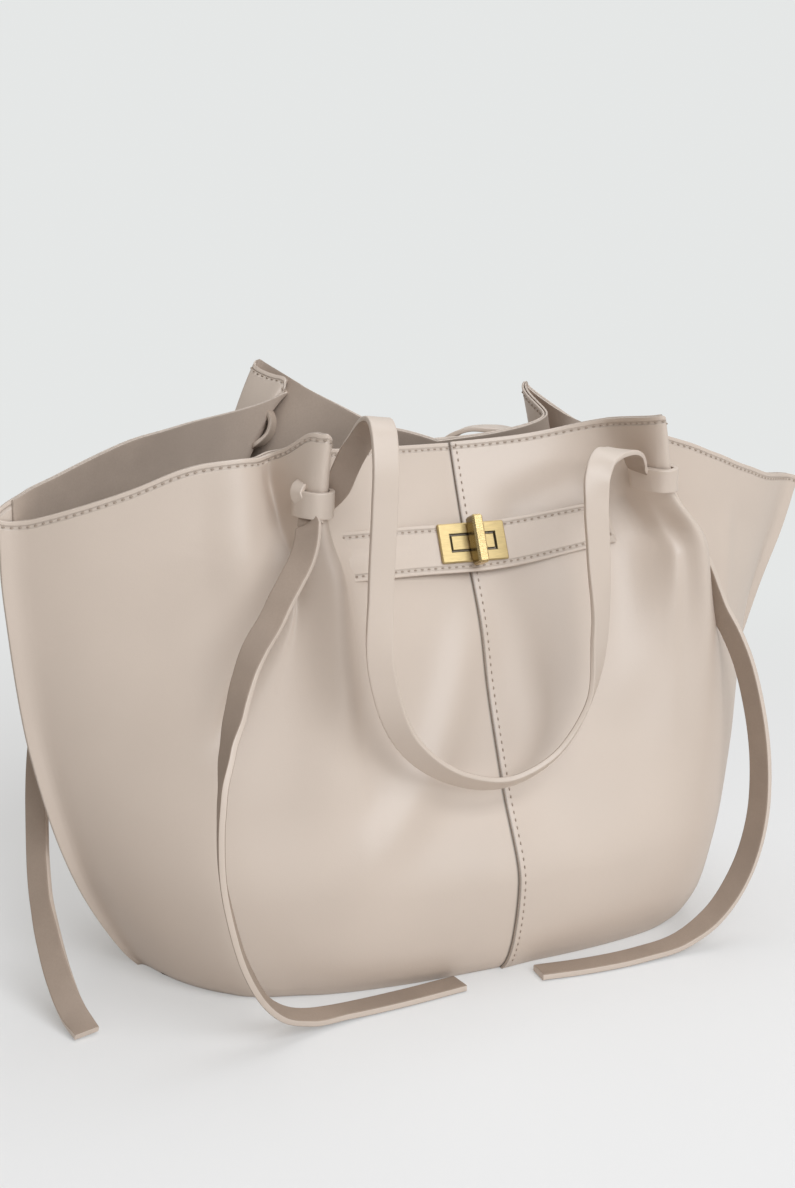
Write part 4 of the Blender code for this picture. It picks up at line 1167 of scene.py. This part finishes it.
def belt_grid(shares, parts):
    """Places on the belt's back, at shares of its length and at parts of its half height."""
    facing = Vector(LOCK_FACING)
    middle = Vector(LOCK_PLACE) - facing * BELT_THICK
    rows = []
    for part in parts:
        right = BELT_RIGHT - part * BELT_SLANT
        lift = part * BELT_HEIGHT / 2
        x = -BELT_LEFT + np.asarray(shares) * (BELT_LEFT + right)
        heights = smooth_through((-BELT_LEFT, 0.0, BELT_RIGHT), BELT_SHARES, np.minimum(x, BELT_RIGHT))
        low, level, high = (RIM_HEIGHT * share + lift for share in BELT_SHARES)
        tucked = front_depth(BELT_TUCK - BELT_LEFT, low)
        seated = front_depth(right, high) - BELT_SEAT
        flat = middle.y + (level - middle.z) * facing.z / -facing.y
        knots = (-BELT_LEFT, -PLATE_WIDTH / 2, PLATE_WIDTH / 2, right)
        y = smooth_through(knots, (tucked, flat, flat, seated), x)
        rows.append(np.stack((x, y, RIM_HEIGHT * heights + lift), axis=1))
    return np.array(rows)


def belt_stitches():
    """The rows of stitches along the belt's two long edges and its right end, with their normals."""
    inner = 1 - 2 * BELT_INSET / BELT_HEIGHT
    last = 1 - BELT_INSET / (BELT_LEFT + BELT_RIGHT)
    along = np.linspace(0.01, last, 60)
    pairs = [belt_grid(along, [part, part + 0.1]) for part in (-inner, inner)]
    pairs.append(belt_grid([last, 1.0], np.linspace(inner, -inner, 14)).swapaxes(0, 1))
    lines = []
    for row, beside in pairs:
        out = unit(np.cross(np.gradient(row, axis=0), beside - row))
        lines.append((row + out * BELT_THICK, out))
    return lines


def flat_piece(name, loop, low, thick, finish_name):
    """A flat sheet of an outline, with its edges rounded."""
    count = len(loop)
    points = [(x, y, z) for z in (low, low + thick) for x, y in loop]
    faces = [tuple(range(count))[::-1], tuple(range(count, 2 * count))]
    faces += [(i, (i + 1) % count, count + (i + 1) % count, count + i) for i in range(count)]
    far = np.full(len(points), 2.0)
    piece = new_piece(name, points, faces, [finish(finish_name)], {"stitch_way": far, "lap_way": far})
    face_outward(piece)
    modify(piece, "BEVEL", width=thick * 0.25, segments=2, limit_method="ANGLE", angle_limit=math.radians(50))
    bpy.ops.object.shade_smooth_by_angle(angle=math.radians(40))
    return piece


def base_outline():
    """The base's outline, a little inside the foot of the panels."""
    ways = panel_ways()
    ways = ways[ways <= BASE_LAST_WAY]
    rows = {corner: shell_grid(corner, ways, [0.0])[0, :, :2] for corner in CORNERS}
    loop = np.concatenate((rows["front_left"][::-1], rows["front_right"][1:],
                           rows["back_right"][::-1], rows["back_left"][1:-1]))
    along = unit(np.roll(loop, -1, axis=0) - np.roll(loop, 1, axis=0))
    return loop + BASE_INSET * np.stack((-along[:, 1], along[:, 0]), axis=1)


class SHOPPER_OT_belt(bpy.types.Operator):
    """Makes the belt across the front, with its stitches, and the sheets of the base"""

    bl_idname = "shopper.belt"
    bl_label = "Belt and base"

    def execute(self, context):
        sizes = context.scene.shopper_sizes
        shares, parts = np.linspace(0, 1, BELT_COLUMNS), np.linspace(-1, 1, BELT_ROWS)
        grid = belt_grid(shares, parts)
        long_way = np.abs(np.abs(parts)[:, None] * BELT_HEIGHT / 2 - (BELT_HEIGHT / 2 - BELT_INSET))
        end_way = np.abs((1 - shares)[None, :] * (BELT_LEFT + BELT_RIGHT) - BELT_INSET)
        stitched = np.minimum(long_way, end_way)
        belt = new_piece("belt", grid.reshape(-1, 3), grid_faces(*grid.shape[:2]),
                         [finish("belt_leather"), finish("edge")],
                         {"stitch_way": 1.0 + stitched.ravel(), "lap_way": np.full(stitched.size, 2.0)})
        add_wall(belt, BELT_THICK, edge_radius=BELT_ROUNDING, offset=1.0)
        only()
        turn = Vector((0, 0, 1)).rotation_difference(Vector(LOCK_FACING)).to_euler()
        bpy.ops.mesh.primitive_cylinder_add(vertices=32, radius=STEM_HOLE, depth=10 * BELT_THICK,
                                            location=LOCK_PLACE, rotation=turn)
        rod = context.active_object
        modify(belt, "BOOLEAN", object=rod, solver="EXACT")
        bpy.data.objects.remove(rod)
        on_bag(belt, "taupe_leather", "closure_belt")
        stitch_row("belt_stitches", belt_stitches(), sizes.stitch, sizes.thread)
        loop = base_outline()
        base = flat_piece("base_leather", loop, BASE_GAP, BASE_THICK, "leather")
        on_bag(base, "taupe_leather", "base_panel")
        base = flat_piece("base_inside", loop, BASE_LINING_LEVEL, BASE_LINING_THICK, "lining")
        on_bag(base, "lining_leather", "base_lining")
        return {"FINISHED"}


class SHOPPER_OT_lock(bpy.types.Operator):
    """Gives the turn lock and the base board their finishes"""

    bl_idname = "shopper.lock"
    bl_label = "Lock and board finishes"

    def execute(self, context):
        finishes = {"lock_plate": "slotted_gold", "lock_base": "slotted_gold", "lock_washer": "gold",
                    "turn_knob": "knob_gold", "base_board": "board"}
        for node, label in finishes.items():
            for slot in frame["nodes"][node].material_slots:
                slot.material = finish(label)
        return {"FINISHED"}


class SHOPPER_OT_stage(bpy.types.Operator):
    """Sets the camera, the floor and the soft studio light"""

    bl_idname = "shopper.stage"
    bl_label = "Stage"

    def execute(self, context):
        azimuth, elevation = math.radians(CAMERA_AZIMUTH), math.radians(CAMERA_ELEVATION)
        back = Vector((math.sin(azimuth) * math.cos(elevation), -math.cos(azimuth) * math.cos(elevation),
                       math.sin(elevation)))
        right = (-back).cross(Vector((0, 0, 1))).normalized()
        up = right.cross(-back)
        c, s = math.cos(math.radians(CAMERA_ROLL)), math.sin(math.radians(CAMERA_ROLL))
        right, up = c * right + s * up, c * up - s * right
        lens = bpy.data.cameras.new("camera")
        lens.sensor_width = 36.0
        lens.lens = FOCAL_PIXELS / PHOTO_SIZE[1] * lens.sensor_width
        camera = bpy.data.objects.new("camera", lens)
        turn = Matrix((right, up, back)).transposed().to_4x4()
        camera.matrix_world = Matrix.Translation(Vector(CAMERA_TARGET) + back * CAMERA_DISTANCE) @ turn
        lens.clip_start, lens.clip_end = 0.05, 60.0
        context.scene.collection.objects.link(camera)
        context.scene.camera = camera

        only()
        bpy.ops.mesh.primitive_plane_add(size=24.0, location=(0, 0, 0))
        floor = context.active_object
        floor.name = "floor"
        floor.data.materials.append(finish("floor"))

        for name, place, target, size, power in LAMPS:
            light = bpy.data.lights.new(name, "AREA")
            light.color = LAMP_COLOR
            light.energy = power
            light.shape = "SQUARE"
            light.size = size
            lamp = bpy.data.objects.new(name, light)
            lamp.location = place
            lamp.rotation_euler = (Vector(target) - Vector(place)).to_track_quat("-Z", "Y").to_euler()
            context.scene.collection.objects.link(lamp)
        set_world(context.scene)
        context.scene.view_settings.view_transform = "Standard"
        return {"FINISHED"}


def set_world(scene):
    """A pale backdrop for the camera and for reflections, and a softer level of light for the bag."""
    scene.world = bpy.data.worlds.new("studio")
    make = Nodes(scene.world)
    seen, glossy, through = (make.add("ShaderNodeLightPath", output=ray) for ray in
                             ("Is Camera Ray", "Is Glossy Ray", "Is Transmission Ray"))
    seen = make.math("ADD", seen, glossy + through, clamped=True)
    lit = make.add("ShaderNodeBackground", {}, {"Color": WORLD_COLOR, "Strength": WORLD_LEVEL})
    shown = make.add("ShaderNodeBackground", {}, {"Color": BACKDROP, "Strength": 1.0})
    mixed = make.add("ShaderNodeMixShader", {}, {0: seen, 1: lit, 2: shown})
    make.add("ShaderNodeOutputWorld", {}, {"Surface": mixed})


OPERATORS = (SHOPPER_OT_stage, SHOPPER_OT_tails, SHOPPER_OT_body, SHOPPER_OT_lining, SHOPPER_OT_seams,
             SHOPPER_OT_handles, SHOPPER_OT_knots, SHOPPER_OT_belt, SHOPPER_OT_lock)


class SHOPPER_PT_panel(bpy.types.Panel):
    """The bag's sizes, colours and pieces"""

    bl_label = "Shopper bag"
    bl_idname = "SHOPPER_PT_panel"
    bl_space_type = "VIEW_3D"
    bl_region_type = "UI"
    bl_category = "Shopper bag"

    def draw(self, context):
        for group in (context.scene.shopper_sizes, context.scene.shopper_look):
            for label in group.__annotations__:
                self.layout.prop(group, label)
        for operator in OPERATORS:
            self.layout.operator(operator.bl_idname)


CLASSES = (ShopperSizes, ShopperLook, *OPERATORS, SHOPPER_PT_panel)


def register():
    for each in CLASSES:
        bpy.utils.register_class(each)
    bpy.types.Scene.shopper_sizes = bpy.props.PointerProperty(type=ShopperSizes)
    bpy.types.Scene.shopper_look = bpy.props.PointerProperty(type=ShopperLook)


def unregister():
    del bpy.types.Scene.shopper_look
    del bpy.types.Scene.shopper_sizes
    for each in reversed(CLASSES):
        bpy.utils.unregister_class(each)


def main():
    register()
    bpy.ops.shopper.stage()
    bpy.ops.shopper.tails()
    bpy.ops.shopper.body()
    bpy.ops.shopper.lining()
    bpy.ops.shopper.seams()
    bpy.ops.shopper.handles()
    bpy.ops.shopper.knots()
    bpy.ops.shopper.belt()
    bpy.ops.shopper.lock()


if __name__ == "__main__":
    main()
